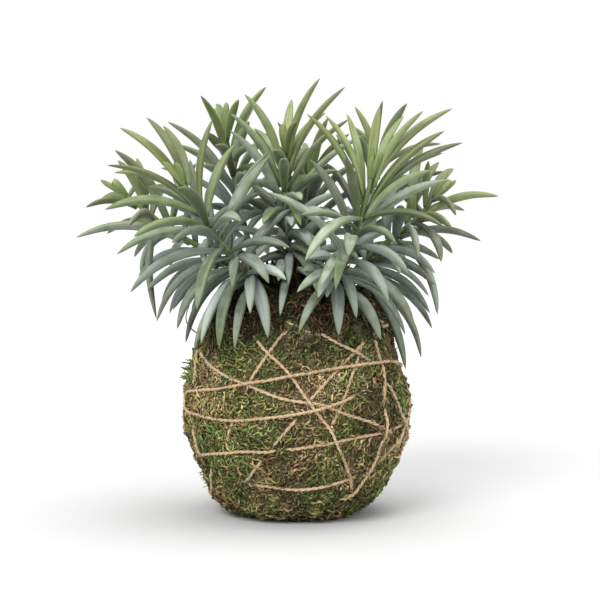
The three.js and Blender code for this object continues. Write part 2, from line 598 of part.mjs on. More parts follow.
/** The twine's centre line: it hugs the moss and rides over the strands laid before it. */
function twineCurve() {
  const flatPoints = TWINE_PASSES.flatMap(([turn, points]) => (
    points.map(([bearing, height]) => new THREE.Vector3(bearing + 360 * turn, height, 0))
  ));
  const flat = new THREE.CatmullRomCurve3(flatPoints, false, 'centripetal');
  const rough = flat.getPoints(flatPoints.length * ROUTE_SAMPLES);
  const onMoss = rough.map(({ x: bearing, y: height }) => (
    mossSurface(THREE.MathUtils.degToRad(bearing), height)
  ));
  const lying = new THREE.CatmullRomCurve3(onMoss.map(({ point, normal }) => (
    point.clone().addScaledVector(normal, TWINE_RADIUS + CLEARANCE)
  )));
  lying.arcLengthDivisions = ROUTE_DIVISIONS * 2;
  const count = Math.round(lying.getLength() / TWINE_SAMPLE);
  const window = Math.ceil(CROSSING_FAR * CROSSING_APART / TWINE_SAMPLE);
  const strand = lying.getSpacedPoints(count).map((point) => ({ point, lift: 0 }));
  strand.forEach((here, k) => {
    for (const below of strand.slice(0, Math.max(0, k - window))) {
      const distance = here.point.distanceTo(below.point);
      if (distance < CROSSING_FAR) {
        here.lift = Math.max(here.lift, (below.lift + CROSSING_LIFT) * raise(distance));
      }
    }
  });
  return new THREE.CatmullRomCurve3(strand.map(({ point, lift }) => {
    const bearing = Math.atan2(point.x, -point.y);
    const { normal } = mossSurface(bearing, onOutline(point.z));
    return point.clone().addScaledVector(normal, lift);
  }));
}

/** The twine's solid, along the whole of its centre line. */
function twine() {
  const curve = twineCurve();
  curve.arcLengthDivisions = ROUTE_DIVISIONS;
  return tube(curve, TWINE_RADIUS, TWINE_SIDES, Math.round(curve.getLength() / TWINE_STEP));
}

// ---------------------------------------------------------------- the object

const FINISHES = {
  moss: { color: 0x5d6a2c, roughness: 0.95, metalness: 0 },
  soil: { color: 0x3b2b1d, roughness: 0.95, metalness: 0 },
  twine: { color: 0xc49a6c, roughness: 0.9, metalness: 0 },
  stem: { color: 0x71804f, roughness: 0.7, metalness: 0 },
  leaf: { color: 0x7d967c, roughness: 0.6, metalness: 0 },
};

const kokedama = new THREE.Group();

/** Adds a named piece with its finish to the object. */
function place(name, geometry, finish) {
  const mesh = new THREE.Mesh(geometry, new THREE.MeshStandardMaterial(FINISHES[finish]));
  mesh.name = name;
  kokedama.add(mesh);
}

const sprigs = SPRIGS.map((plan) => new Sprig(plan));
relax(
  sprigs.flatMap(({ whorls }) => whorls.flatMap(({ leaves }) => leaves)),
  sprigs.map((sprig) => ({ sprig: sprig.name, points: sprig.curve.getSpacedPoints(STEM_POINTS) })),
);

place('moss_wrap', geometryOf(solidOf(mossWrap())), 'moss');
place('root_ball', geometryOf(rootBall(sprigs.map((sprig) => sprig.pocket()))), 'soil');
place('jute_twine', geometryOf(solidOf(twine())), 'twine');
for (const sprig of sprigs) {
  place(`${sprig.name}_stem`, geometryOf(solidOf(sprig.stem())), 'stem');
  sprig.whorls.forEach((_, level) => {
    place(`${sprig.name}_leaves_${level + 1}`, geometryOf(sprig.whorlSolid(level)), 'leaf');
  });
}

export default kokedama;
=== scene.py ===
"""Looks of a kokedama: a leafy plant whose root ball is wrapped in moss and wound with twine.

Lengths are in metres, +Z is up and the front faces -Y. The tables of sizes, which are multiplied
by MM where they are used, are in millimetres, and so are the strands that are modelled once and
then laid many times.
"""

import logging
import math
from collections import defaultdict
from dataclasses import dataclass, field
from enum import Enum

import bpy
import numpy as np
from mathutils import Euler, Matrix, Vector, noise


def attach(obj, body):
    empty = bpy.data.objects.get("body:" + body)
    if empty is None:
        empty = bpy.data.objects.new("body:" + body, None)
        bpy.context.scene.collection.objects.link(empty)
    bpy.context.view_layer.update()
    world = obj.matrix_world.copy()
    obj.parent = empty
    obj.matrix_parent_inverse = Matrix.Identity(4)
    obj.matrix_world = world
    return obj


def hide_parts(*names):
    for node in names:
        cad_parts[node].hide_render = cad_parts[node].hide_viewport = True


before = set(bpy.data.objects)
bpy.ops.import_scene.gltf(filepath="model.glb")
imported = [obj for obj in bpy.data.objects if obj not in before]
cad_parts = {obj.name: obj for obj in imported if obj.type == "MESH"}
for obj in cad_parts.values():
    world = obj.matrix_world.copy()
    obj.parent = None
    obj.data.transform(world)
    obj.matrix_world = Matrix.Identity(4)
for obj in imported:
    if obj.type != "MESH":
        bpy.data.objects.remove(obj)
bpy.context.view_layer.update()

LOG = logging.getLogger("kokedama")
MM = 0.001
FULL_TURN = 2 * math.pi
BODY = "root"
Array = np.ndarray


# ---------------------------------------------------------------- shader building


class Value:
    """A number that varies over a surface; arithmetic on it adds Math nodes."""

    def __init__(self, shader: "Shader", socket: bpy.types.NodeSocket) -> None:
        """Wraps one output socket of a shader's node."""
        self.shader = shader
        self.socket = socket

    def _math(self, operation: str, *terms: "Value | float") -> "Value":
        """Adds a Math node with its terms in order, and returns its result."""
        return self.shader.node("ShaderNodeMath", {"operation": operation},
                                dict(enumerate(terms)))

    def __add__(self, other: "Value | float") -> "Value":
        """The sum."""
        return self._math("ADD", self, other)

    def __radd__(self, other: float) -> "Value":
        """The sum, with a plain number on the left."""
        return self._math("ADD", other, self)

    def __sub__(self, other: "Value | float") -> "Value":
        """The difference."""
        return self._math("SUBTRACT", self, other)

    def __rsub__(self, other: float) -> "Value":
        """The difference from a plain number."""
        return self._math("SUBTRACT", other, self)

    def __mul__(self, other: "Value | float") -> "Value":
        """The product."""
        return self._math("MULTIPLY", self, other)

    def __rmul__(self, other: float) -> "Value":
        """The product, with a plain number on the left."""
        return self._math("MULTIPLY", other, self)

    def __pow__(self, other: "Value | float") -> "Value":
        """The power."""
        return self._math("POWER", self, other)

    def clamped(self) -> "Value":
        """The value kept between 0 and 1."""
        return self._math("MAXIMUM", self._math("MINIMUM", self, 1.0), 0.0)


class Shader:
    """A material under construction, with one Principled shader."""

    def __init__(self, name: str, **constants: float) -> None:
        """Starts a material.

        Args:
            name: the material's name.
            constants: the Principled sockets that are the same all over, with _ for a space.
        """
        self.material = bpy.data.materials.new(name)
        self.material.use_nodes = True
        self.tree = self.material.node_tree
        self.tree.nodes.clear()
        output = self.tree.nodes.new("ShaderNodeOutputMaterial")
        self.surface = self.tree.nodes.new("ShaderNodeBsdfPrincipled")
        self.tree.links.new(self.surface.outputs[0], output.inputs["Surface"])
        for key, value in constants.items():
            self.surface.inputs[key.replace("_", " ")].default_value = value

    def node(self, kind: str, settings: dict | None = None, values: dict | None = None,
             output: int | str = 0) -> Value:
        """Adds any node.

        Args:
            kind: the node's type.
            settings: the node's own settings, which are set first.
            values: numbers, colours or links for its sockets, by name or number.
            output: the socket to return.

        Returns:
            The wrapped output socket.
        """
        made = self.tree.nodes.new(kind)
        for key, value in (settings or {}).items():
            if key == "stops":
                self._set_stops(made.color_ramp, value)
            else:
                setattr(made, key, value)
        for key, value in (values or {}).items():
            socket = made.inputs[key]
            if isinstance(value, Value):
                self.tree.links.new(value.socket, socket)
            else:
                socket.default_value = (*value, 1.0) if socket.type == "RGBA" else value
        return Value(self, made.outputs[output])

    @staticmethod
    def _set_stops(ramp: bpy.types.ColorRamp, stops: list[tuple]) -> None:
        """Gives a colour ramp its stops, as (position, colour)."""
        while len(ramp.elements) < len(stops):
            ramp.elements.new(1.0)
        for element, (position, colour) in zip(ramp.elements, stops):
            element.position = position
            element.color = (*colour, 1.0)

    def place(self) -> Value:
        """The place on the piece, in its own metres."""
        return self.node("ShaderNodeTexCoord", output="Object")

    def attribute(self, name: str, output: str = "Vector") -> Value:
        """A mesh attribute's vector, or its colour where output says so."""
        return self.node("ShaderNodeAttribute", {"attribute_name": name}, output=output)

    def parts(self, vector: Value) -> list[Value]:
        """The three numbers of a vector."""
        split = self.node("ShaderNodeSeparateXYZ", {}, {0: vector}).socket.node
        return [Value(self, socket) for socket in split.outputs]

    def joined(self, *numbers: Value) -> Value:
        """A vector of two or three numbers."""
        return self.node("ShaderNodeCombineXYZ", {}, dict(enumerate(numbers)))

    def noise(self, scale: float, detail: float = 3.0, roughness: float = 0.55,
              where: Value | None = None) -> Value:
        """A smooth noise between 0 and 1.

        Args:
            scale: its features a metre, or a unit of the place.
            detail: how many finer layers it has.
            roughness: how strong those are.
            where: the place that it is read at, without which it is the place on the piece.

        Returns:
            The noise.
        """
        values = {"Vector": where or self.place(), "Scale": scale, "Detail": detail,
                  "Roughness": roughness}
        return self.node("ShaderNodeTexNoise", {}, values)

    def ramp(self, factor: Value, stops: list[tuple]) -> Value:
        """A colour picked from stops by a number."""
        return self.node("ShaderNodeValToRGB", {"stops": stops}, {0: factor})

    def mix(self, factor: Value | float, first: Value | tuple, second: Value | tuple,
            blend: str = "MIX") -> Value:
        """Two colours mixed by a number."""
        return self.node("ShaderNodeMix", {"data_type": "RGBA", "blend_type": blend},
                         {0: factor, 6: first, 7: second}, output=2)

    def bump(self, height: Value, distance: float, strength: float) -> Value:
        """A Bump node's normal, with distance in metres."""
        values = {"Height": height, "Distance": distance, "Strength": strength}
        return self.node("ShaderNodeBump", {}, values)

    def dress(self, **links: Value) -> bpy.types.Material:
        """Links values to the Principled sockets and returns the finished material."""
        for key, value in links.items():
            self.tree.links.new(value.socket, self.surface.inputs[key.replace("_", " ")])
        return self.material


# ---------------------------------------------------------------- finishes


@dataclass(frozen=True)
class LeafFinish:
    """Fleshy leaves: green at the crowns, with a grey-blue bloom on the older ones."""

    young: tuple = (0.126, 0.168, 0.031)
    grown: tuple = (0.086, 0.120, 0.050)
    bloom_young: tuple = (0.302, 0.352, 0.178)
    bloom_old: tuple = (0.430, 0.495, 0.470)
    # Undersides: their own green, darkened partly as painted shade beneath the leaves.
    under_young: tuple = (0.122, 0.160, 0.048)
    under: tuple = (0.064, 0.084, 0.050)
    margin: tuple = (0.165, 0.208, 0.052)
    heart: tuple = (0.120, 0.155, 0.044)
    bare_rim: float = 0.85
    crease_shade: float = 0.35
    bare_tip: float = 0.6
    cloud_scale: float = 120.0
    grain: float = 0.12 * MM

    def face(self, s: Shader, along: Value, across: Value, age: Value, worn: Value,
             bloom: Value) -> Value:
        """The colour of the upper side: bloom over green flesh, bare at the rim and tip, with a
        painted highlight along the middle and partly painted shade in the crease and towards the
        foot.

        Args:
            s: the shader.
            along: the place from the foot to the tip, from 0 to 1.
            across: the place from one edge to the other, from -1 to 1.
            age: the leaf's age, from 0 to 1.
            worn: how much of the bloom is left.
            bloom: its colour.

        Returns:
            The colour.
        """
        off_centre = across * across
        flesh = s.mix((age * 1.4).clamped(), self.young, self.grown)
        # The bloom gathers in a pale band along the middle, partly real bloom and partly a painted
        # highlight, and thins towards the foot, partly the bare green base and partly painted shade
        # among the leaves.
        centre = (1.0 - off_centre ** 0.8).clamped()
        outer = (0.45 + along * 1.3).clamped()
        colour = s.mix((worn * outer * (0.40 + centre * 0.66)).clamped(), flesh, bloom)
        rim = (off_centre ** 3.0 * (1.0 - age * 0.35) * self.bare_rim).clamped()
        colour = s.mix(rim, colour, self.margin)
        # Painted shade along the midline crease, in the darker grown green.
        crease = 1.0 - (off_centre * 90.0).clamped()
        colour = s.mix(crease * self.crease_shade, colour, self.grown)
        return s.mix((along ** 5.0 * self.bare_tip).clamped(), colour, self.margin)

    def material(self) -> bpy.types.Material:
        """Builds the material from the leaf's own attributes.

        Returns:
            The material.
        """
        s = Shader("leaf", Specular_IOR_Level=0.5, Sheen_Weight=0.08, Sheen_Roughness=0.5)
        along, across, upward = s.parts(s.attribute("leaf_place"))
        age, chance, tone = s.parts(s.attribute("leaf_kind"))
        lengthwise = s.joined(along * 2.5, across * 5.0, chance * 40.0)
        streak = s.noise(2.4, 3.0, 0.6, where=lengthwise)
        cloud = s.noise(self.cloud_scale, 2.0)
        bloom = s.mix((age * 1.8).clamped(), self.bloom_young, self.bloom_old)
        worn = (0.26 + age * 0.52 + (cloud - 0.5) * 1.7 + (streak - 0.5) * 1.3
                + (chance - 0.5) * 1.0).clamped()
        # The underside's colour, darker partly as painted shade beneath the leaves.
        under = s.mix((age * 2.0).clamped(), self.under_young, self.under)
        below = s.mix((worn * 0.6).clamped(), under, bloom)
        face = self.face(s, along, across, age, worn, bloom)
        colour = s.mix((upward * 2.2 + 0.5).clamped(), below, face)
        new = (0.0 - tone).clamped()
        colour = s.mix((new * (0.8 - along * 0.5)).clamped(), colour, self.heart)
        # Darker with age and tone: partly each leaf's own colour, partly painted shade on the lower,
        # older whorls and on the small leaves behind the stems.
        shade = 1.20 - age * 0.10 - tone.clamped() * 0.62
        colour = s.mix(1.0, colour, s.joined(shade, shade, shade), "MULTIPLY")
        ribs = s.node("ShaderNodeTexWave", {"wave_type": "BANDS", "bands_direction": "Y"},
                      {"Vector": lengthwise, "Scale": 0.55, "Distortion": 2.0, "Detail": 2.0})
        normal = s.bump(ribs * 0.5 + streak * 0.8 + cloud * 0.4, self.grain, 0.6)
        return s.dress(Base_Color=colour, Roughness=0.38 + worn * 0.18, Normal=normal)


@dataclass(frozen=True)
class StemFinish:
    """Green stems, browner and scarred towards the soil."""

    fresh: tuple = (0.130, 0.175, 0.062)
    woody: tuple = (0.085, 0.075, 0.035)
    scarred: tuple = (0.25, 0.22, 0.11)
    patch_scale: float = 300.0
    fine_scale: float = 1500.0

    def material(self) -> bpy.types.Material:
        """Builds the material from how far up the stem a point is.

        Returns:
            The material.
        """
        s = Shader("stem", Specular_IOR_Level=0.35)
        along, _, _ = s.parts(s.attribute("stem_place"))
        patch = s.noise(self.patch_scale, 3.0)
        fine = s.noise(self.fine_scale, 2.0)
        green = (along * 1.5 - 0.1 + (patch - 0.5) * 0.6).clamped()
        colour = s.mix(green, self.woody, self.fresh)
        colour = s.mix((fine - 0.45).clamped() * 0.6, colour, self.scarred)
        return s.dress(Base_Color=colour, Roughness=0.55 + patch * 0.25,
                       Normal=s.bump(patch + fine * 0.5, 0.3 * MM, 0.6))


@dataclass(frozen=True)
class StrandFinish:
    """Dry plant strands, each with its own colour, speckled darker and lighter."""

    speck_scale: float = 1600.0
    dim: tuple = (0.55, 0.55, 0.5)
    lit: tuple = (1.3, 1.28, 1.2)

    def material(self) -> bpy.types.Material:
        """Builds the material from the strands' own colours.

        Returns:
            The material.
        """
        s = Shader("moss_strand", Specular_IOR_Level=0.2)
        speck = s.noise(self.speck_scale, 2.0)
        shade = s.ramp(speck, [(0.3, self.dim), (0.72, self.lit)])
        colour = s.mix(0.8, s.attribute("tint", "Color"), shade, "MULTIPLY")
        return s.dress(Base_Color=colour, Roughness=0.85 - speck * 0.15,
                       Normal=s.bump(speck, 0.2 * MM, 0.5))


@dataclass(frozen=True)
class BedFinish:
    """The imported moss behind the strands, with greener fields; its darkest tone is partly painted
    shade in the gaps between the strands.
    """

    dark_moss_and_shade: tuple = (0.030, 0.026, 0.012)
    middle: tuple = (0.118, 0.100, 0.046)
    bright: tuple = (0.270, 0.230, 0.112)
    green: tuple = (0.62, 0.95, 0.62)
    strand_scale: float = 900.0
    tuft_scale: float = 160.0
    field_scale: float = 70.0

    def material(self) -> bpy.types.Material:
        """Builds the material from noise at the size of strands and tufts.

        Returns:
            The material.
        """
        s = Shader("moss_bed", Specular_IOR_Level=0.15)
        strand = s.noise(self.strand_scale, 4.0, 0.7)
        tuft = s.noise(self.tuft_scale, 3.0, 0.6)
        # The darkest stop is partly the moss's own dark brown and partly painted shade between the
        # strands.
        colour = s.ramp(strand * 0.7 + tuft * 0.45,
                        [(0.38, self.dark_moss_and_shade), (0.58, self.middle), (0.8, self.bright)])
        green = ((s.noise(self.field_scale, 2.0) - 0.42) * 4.0).clamped()
        colour = s.mix(green * 0.55, colour, self.green, "MULTIPLY")
        return s.dress(Base_Color=colour, Roughness=0.8 + strand * 0.18,
                       Normal=s.bump(strand, 1.2 * MM, 0.9))


@dataclass(frozen=True)
class SoilFinish:
    """Dark crumbly soil and roots in the neck."""

    dark: tuple = (0.012, 0.009, 0.006)
    light: tuple = (0.095, 0.062, 0.034)
    crumb_scale: float = 600.0
    dust_scale: float = 1200.0

    def material(self) -> bpy.types.Material:
        """Builds the material from crumb-sized noise.

        Returns:
            The material.
        """
        s = Shader("soil", Specular_IOR_Level=0.2)
        crumb = s.node("ShaderNodeTexVoronoi", {},
                       {"Vector": s.place(), "Scale": self.crumb_scale})
        dust = s.noise(self.dust_scale, 4.0, 0.7)
        colour = s.ramp(crumb * 0.6 + dust * 0.5, [(0.3, self.dark), (0.8, self.light)])
        return s.dress(Base_Color=colour, Roughness=0.82 + dust * 0.15,
                       Normal=s.bump(crumb + dust * 0.6, 1.0 * MM, 0.9))


@dataclass(frozen=True)
class TwineFinish:
    """Pale tan jute, streaked along the fibres, whose tone drifts along the twine."""

    shade: tuple = (0.230, 0.132, 0.064)
    body: tuple = (0.480, 0.330, 0.188)
    light: tuple = (0.700, 0.550, 0.365)

    def material(self) -> bpy.types.Material:
        """Builds the material from the place along and around each ply.

        Returns:
            The material.
        """
        s = Shader("jute", Specular_IOR_Level=0.25, Sheen_Weight=0.15)
        along, around, chance = s.parts(s.attribute("twine_place"))
        fibres = s.joined(along * 260.0, around * 9.0, chance * 7.0)
        streak = s.noise(1.0, 4.0, 0.65, where=fibres)
        drift = s.noise(1.0, 2.0, where=s.joined(along * 30.0, chance * 5.0))
        colour = s.ramp(streak * 0.62 + drift * 0.60 - 0.06,
                        [(0.28, self.shade), (0.5, self.body), (0.78, self.light)])
        return s.dress(Base_Color=colour, Roughness=0.78 + streak * 0.18,
                       Normal=s.bump(streak, 0.3 * MM, 0.8))


# ---------------------------------------------------------------- mesh making


def deselect() -> None:
    """Leaves edit mode and selects nothing."""
    if bpy.context.object and bpy.context.object.mode != "OBJECT":
        bpy.ops.object.mode_set(mode="OBJECT")
    bpy.ops.object.select_all(action="DESELECT")


def unit(rows: Array) -> Array:
    """Rows scaled to length 1."""
    return rows / np.maximum(np.linalg.norm(rows, axis=-1, keepdims=True), 1e-12)


def piece_of(name: str, points: Array, corners: Array, sizes: Array) -> bpy.types.Object:
    """Makes a mesh object at the origin.

    Args:
        name: the piece's name.
        points: its vertices, one row each.
        corners: the vertex numbers of all faces, one after another.
        sizes: how many corners each face has.

    Returns:
        The object, smooth shaded.
    """
    mesh = bpy.data.meshes.new(name)
    mesh.vertices.add(len(points))
    mesh.vertices.foreach_set("co", points.astype(np.float32).ravel())
    mesh.loops.add(len(corners))
    mesh.loops.foreach_set("vertex_index", corners.astype(np.int32))
    mesh.polygons.add(len(sizes))
    starts = np.concatenate([[0], np.cumsum(sizes)[:-1]])
    mesh.polygons.foreach_set("loop_start", starts.astype(np.int32))
    mesh.polygons.foreach_set("use_smooth", np.ones(len(sizes), bool))
    mesh.update(calc_edges=True)
    mesh.validate()
    made = bpy.data.objects.new(name, mesh)
    bpy.context.scene.collection.objects.link(made)
    return made


def set_vectors(piece: bpy.types.Object, name: str, rows: Array) -> None:
    """Stores a vector for each vertex, as an attribute."""
    made = piece.data.attributes.new(name, "FLOAT_VECTOR", "POINT")
    made.data.foreach_set("vector", rows.astype(np.float32).ravel())


def set_tints(piece: bpy.types.Object, tints: Array) -> None:
    """Stores a colour for each vertex, as the attribute tint.

    Args:
        piece: the piece.
        tints: the colours, one row a vertex.
    """
    rows = np.column_stack([tints, np.ones(len(tints))])
    made = piece.data.attributes.new("tint", "FLOAT_COLOR", "POINT")
    made.data.foreach_set("color", rows.astype(np.float32).ravel())


def finish_piece(piece: bpy.types.Object, material: bpy.types.Material, slot: str,
                 *nodes: str) -> None:
    """Dresses a piece and says what it is.

    Args:
        piece: the piece.
        material: its finish.
        slot: not used.
        nodes: the CAD nodes that it stands for.
    """
    piece.data.materials.clear()
    piece.data.materials.append(material)
    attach(piece, BODY)
    if nodes:
        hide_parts(*nodes)
    triangles = sum(len(polygon.vertices) - 2 for polygon in piece.data.polygons)
    LOG.info("%s: %d triangles", piece.name, triangles)


def ring_angles(sides: int) -> Array:
    """The angle of each corner of a ring."""
    return np.arange(sides) / sides * FULL_TURN


def rings_round(line: Array, across: Array, over: Array, radius: Array,
                angles: Array) -> Array:
    """Rings of points round a line.

    Args:
        line: the points along the middle.
        across: the direction of angle 0 at each of them.
        over: the direction a quarter turn on.
        radius: the ring's radius at each of them.
        angles: the corners' angles, in one row for all rings or one a ring.

    Returns:
        The points, ring by ring.
    """
    return line[:, None] + radius[:, None, None] * (
        across[:, None] * np.cos(angles)[..., None] + over[:, None] * np.sin(angles)[..., None])


def tube_faces(rings: int, sides: int) -> tuple[Array, Array]:
    """The faces of a tube that is closed at both ends, as corners and sizes.

    Args:
        rings: how many rings of vertices it has.
        sides: the corners of a ring.

    Returns:
        The vertex numbers of all faces, and how many corners each has.
    """
    grid = np.arange(rings * sides).reshape(rings, sides)
    onward = np.roll(grid, -1, axis=1)
    quads = np.stack([grid[:-1], onward[:-1], onward[1:], grid[1:]], axis=-1)
    corners = np.concatenate([quads.ravel(), grid[0][::-1], grid[-1]])
    return corners, np.array([4] * ((rings - 1) * sides) + [sides] * 2)


def tube(name: str, line: Array, radius: Array, sides: int) -> bpy.types.Object:
    """Sweeps a closed round piece along a line.

    Args:
        name: the piece's name.
        line: the points along its middle.
        radius: its radius at each of them.
        sides: how many corners its section has.

    Returns:
        The piece.
    """
    way = unit(np.gradient(line, axis=0))
    across = unit(np.cross(way, [0.0, 1.0, 0.0]))
    rings = rings_round(line, across, np.cross(way, across), radius, ring_angles(sides)[None])
    return piece_of(name, rings.reshape(-1, 3), *tube_faces(len(line), sides))


@dataclass(frozen=True)
class Step:
    """One extrusion of a blank: its length, turn in radians, rise and resize."""

    length: float
    turn: float = 0.0
    rise: float = 0.0
    scale: float = 1.0


@dataclass
class Blank:
    """A small closed shape that is modelled once and then laid many times.

    Strands are modelled in millimetres, and the leaf with a length of 1.
    """

    points: Array
    corners: Array
    sizes: Array
    along: Array

    @classmethod
    def swept(cls, sides: int, radius: float, steps: list[Step]) -> "Blank":
        """Models a closed rod: a circle, extruded, turned and resized step by step.

        Args:
            sides: the corners of the circle.
            radius: its radius.
            steps: what each extrusion does.

        Returns:
            The blank, with how far along it each vertex is, from 0 to 1.
        """
        deselect()
        bpy.ops.mesh.primitive_circle_add(vertices=sides, radius=radius, fill_type="NGON",
                                          rotation=(0, math.pi / 2, 0))
        rod = bpy.context.object
        bpy.ops.object.transform_apply(rotation=True)
        bpy.ops.object.mode_set(mode="EDIT")
        bpy.ops.mesh.select_all(action="SELECT")
        centre, heading = Vector((0, 0, 0)), Vector((1, 0, 0))
        for step in steps:
            move = heading * step.length + Vector((0, 0, step.rise))
            bpy.ops.mesh.extrude_region_move(
                TRANSFORM_OT_translate={"value": move, "orient_type": "GLOBAL"})
            centre += move
            if step.turn:
                bpy.ops.transform.rotate(value=step.turn, orient_axis="Z",
                                         center_override=centre)
                heading.rotate(Euler((0, 0, step.turn)))
            bpy.ops.transform.resize(value=(step.scale,) * 3, center_override=centre)
        bpy.ops.mesh.select_all(action="SELECT")
        bpy.ops.mesh.normals_make_consistent(inside=False)
        bpy.ops.object.mode_set(mode="OBJECT")
        blank = cls.taken_from(rod, sides, len(steps))
        bpy.data.objects.remove(rod)
        return blank

    @classmethod
    def taken_from(cls, rod: bpy.types.Object, sides: int, steps: int) -> "Blank":
        """Reads a modelled rod, whose rings of vertices follow one another.

        Args:
            rod: the object.
            sides: the corners of a ring.
            steps: how many extrusions made it.

        Returns:
            The blank.
        """
        mesh = rod.data
        points = np.array([vertex.co for vertex in mesh.vertices], float)
        corners = np.array([k for polygon in mesh.polygons for k in polygon.vertices], int)
        sizes = np.array([len(polygon.vertices) for polygon in mesh.polygons], int)
        along = (np.arange(len(points)) // sides) / steps
        return cls(points, corners, sizes, along)

    def copied(self, count: int) -> tuple[Array, Array]:
        """The faces of many copies, as corners and sizes."""
        shift = np.arange(count)[:, None] * len(self.points)
        return (self.corners[None, :] + shift).ravel(), np.tile(self.sizes, count)


# ---------------------------------------------------------------- reading the CAD nodes


@dataclass
class CadMesh:
    """A merged copy of a CAD node's mesh, with the neighbours of each vertex."""

    points: Array
    near: dict[int, set[int]]

    @classmethod
    def of(cls, node: str) -> "CadMesh":
        """Reads a node and merges the vertices that lie together.

        Args:
            node: the CAD node's name.

        Returns:
            The merged mesh.
        """
        same_place = 2e-7
        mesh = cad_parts[node].data
        raw = np.array([vertex.co for vertex in mesh.vertices], float)
        _, first, back = np.unique(np.round(raw / same_place).astype(np.int64), axis=0,
                                   return_index=True, return_inverse=True)
        back = back.ravel()
        near = defaultdict(set)
        for polygon in mesh.polygons:
            ring = [int(back[k]) for k in polygon.vertices]
            for a, b in zip(ring, ring[1:] + ring[:1]):
                if a != b:
                    near[a].add(b)
                    near[b].add(a)
        return cls(raw[first], near)

    def layers(self, start: set[int]) -> list[list[int]]:
        """The vertices in rings outward from a starting ring.

        Args:
            start: the first ring's vertices.

        Returns:
            The rings, the first one included.
        """
        seen, rings, edge = set(start), [sorted(start)], set(start)
        while True:
            edge = {n for k in edge for n in self.near[k]} - seen
            if not edge:
                return rings
            seen |= edge
            rings.append(sorted(edge))

    def end_ring(self, sides: int) -> set[int]:
        """The corners of one end of a long tube with so many sides.

        Args:
            sides: how many sides the tube has.

        Returns:
            The corners' vertex numbers.
        """
        last = self.layers({0})[-1][0]
        around = [k for ring in self.layers({last})[:3] for k in ring]
        around.sort(key=lambda k: np.linalg.norm(self.points[k] - self.points[last]))
        return set(around[:sides])

    def centre_line(self, sides: int) -> Array:
        """The middle of each ring of a long tube, from end to end."""
        return np.array([self.points[ring].mean(0) for ring in self.layers(self.end_ring(sides))])


# A leaf's pointed tip is longer than this, and its section half way along has this share of
# its full width.
LEAST_TIP = 4 * MM
HALF_WAY_TAPER = (1 - 0.5 ** 3) ** 0.8


@dataclass
class LeafLine:
    """A leaf's line through its foot, bend and tip, with the way it faces."""

    control: Array
    side: Array
    width: float

    @classmethod
    def facing(cls, control: Array, upper: Array, width: float) -> "LeafLine":
        """A leaf with three control points, whose upper side faces a given way."""
        side = unit(np.cross(unit(control[2] - control[0]), upper))
        return cls(control, side, width)

    @classmethod
    def bent(cls, base: Array, tip: Array, bend: Array, width: float) -> "LeafLine":
        """A leaf from a foot to a tip, its upper side on the outside of its bend.

        Args:
            base: the foot.
            tip: the tip.
            bend: how far the leaf bends away from the straight line between the two.
            width: its width.

        Returns:
            The leaf's line.
        """
        control = np.array([base, (base + tip) / 2 + bend, tip])
        return cls.facing(control, unit(bend + [0, 0, 2 * MM]), width)

    @classmethod
    def found_in(cls, mesh: CadMesh) -> list["LeafLine"]:
        """Finds the leaves of a whorl by their pointed tips and the two rings behind each.

        A leaf is missed where a neighbour cuts into one of those rings.

        Args:
            mesh: the whorl.

        Returns:
            The leaves' lines.
        """
        found = []
        for tip, near in mesh.near.items():
            outer = sorted(near)
            ring = sorted({n for k in outer for n in mesh.near[k]} - set(outer) - {tip})
            middle = mesh.points[outer].mean(0)
            reach = np.linalg.norm(mesh.points[tip] - middle)
            if len(outer) == 3 and len(ring) == 3 and reach > LEAST_TIP:
                found.append(cls.from_rings(mesh.points[tip], middle, mesh.points[ring]))
        return found

    @classmethod
    def from_rings(cls, tip: Array, outer: Array, ring: Array) -> "LeafLine":
        """Works a leaf out from its end.

        Args:
            tip: the point.
            outer: the middle of the section three quarters along.
            ring: the three corners of the section half way along.

        Returns:
            The leaf's line.
        """
        half = ring.mean(0)
        middle = 4 * outer - 2 * tip - half
        base = 4 * half - tip - 2 * middle
        sides = [np.linalg.norm(ring[k] - ring[(k + 1) % 3]) for k in range(3)]
        widest = int(np.argmax(sides))
        left, right, keel = ring[widest], ring[(widest + 1) % 3], ring[(widest + 2) % 3]
        upper = unit((left + right) / 2 - keel)
        return cls.facing(np.array([base, middle, tip]), upper, max(sides) / HALF_WAY_TAPER)

    def at(self, t: Array) -> tuple[Array, Array, Array]:
        """The curve at shares of its length.

        Args:
            t: the shares, from 0 at the foot to 1 at the tip.

        Returns:
            Points, sideways directions and upper directions.
        """
        t = t[:, None]
        base, middle, tip = self.control
        point = base * (1 - t) ** 2 + middle * 2 * t * (1 - t) + tip * t ** 2
        way = unit((middle - base) * (1 - t) + (tip - middle) * t)
        side = unit(self.side - way * (way @ self.side)[:, None])
        return point, side, np.cross(side, way)


# ---------------------------------------------------------------- the moss ball


def smooth_line(points: Array, per: int) -> Array:
    """A smooth line through points.

    Args:
        points: the points, one a row.
        per: how many steps it has between each two.

    Returns:
        The line's points.
    """
    ends = np.vstack([2 * points[0] - points[1], points, 2 * points[-1] - points[-2]])
    t = np.linspace(0, 1, per, endpoint=False)[:, None]
    rows = []
    for a, b, c, d in zip(ends, ends[1:], ends[2:], ends[3:]):
        rows.append(0.5 * (2 * b + (c - a) * t + (2 * a - 5 * b + 4 * c - d) * t ** 2
                           + (3 * b - a - 3 * c + d) * t ** 3))
    return np.vstack([*rows, points[-1:]])


def evenly(line: Array, step: float) -> Array:
    """A line's points at even steps along it.

    Args:
        line: the line's points.
        step: how far apart the new ones are.

    Returns:
        The new points.
    """
    run = np.concatenate([[0], np.cumsum(np.linalg.norm(np.diff(line, axis=0), axis=1))])
    at = np.linspace(0, run[-1], int(run[-1] / step) + 1)
    return np.stack([np.interp(at, run, line[:, k]) for k in range(3)], axis=1)


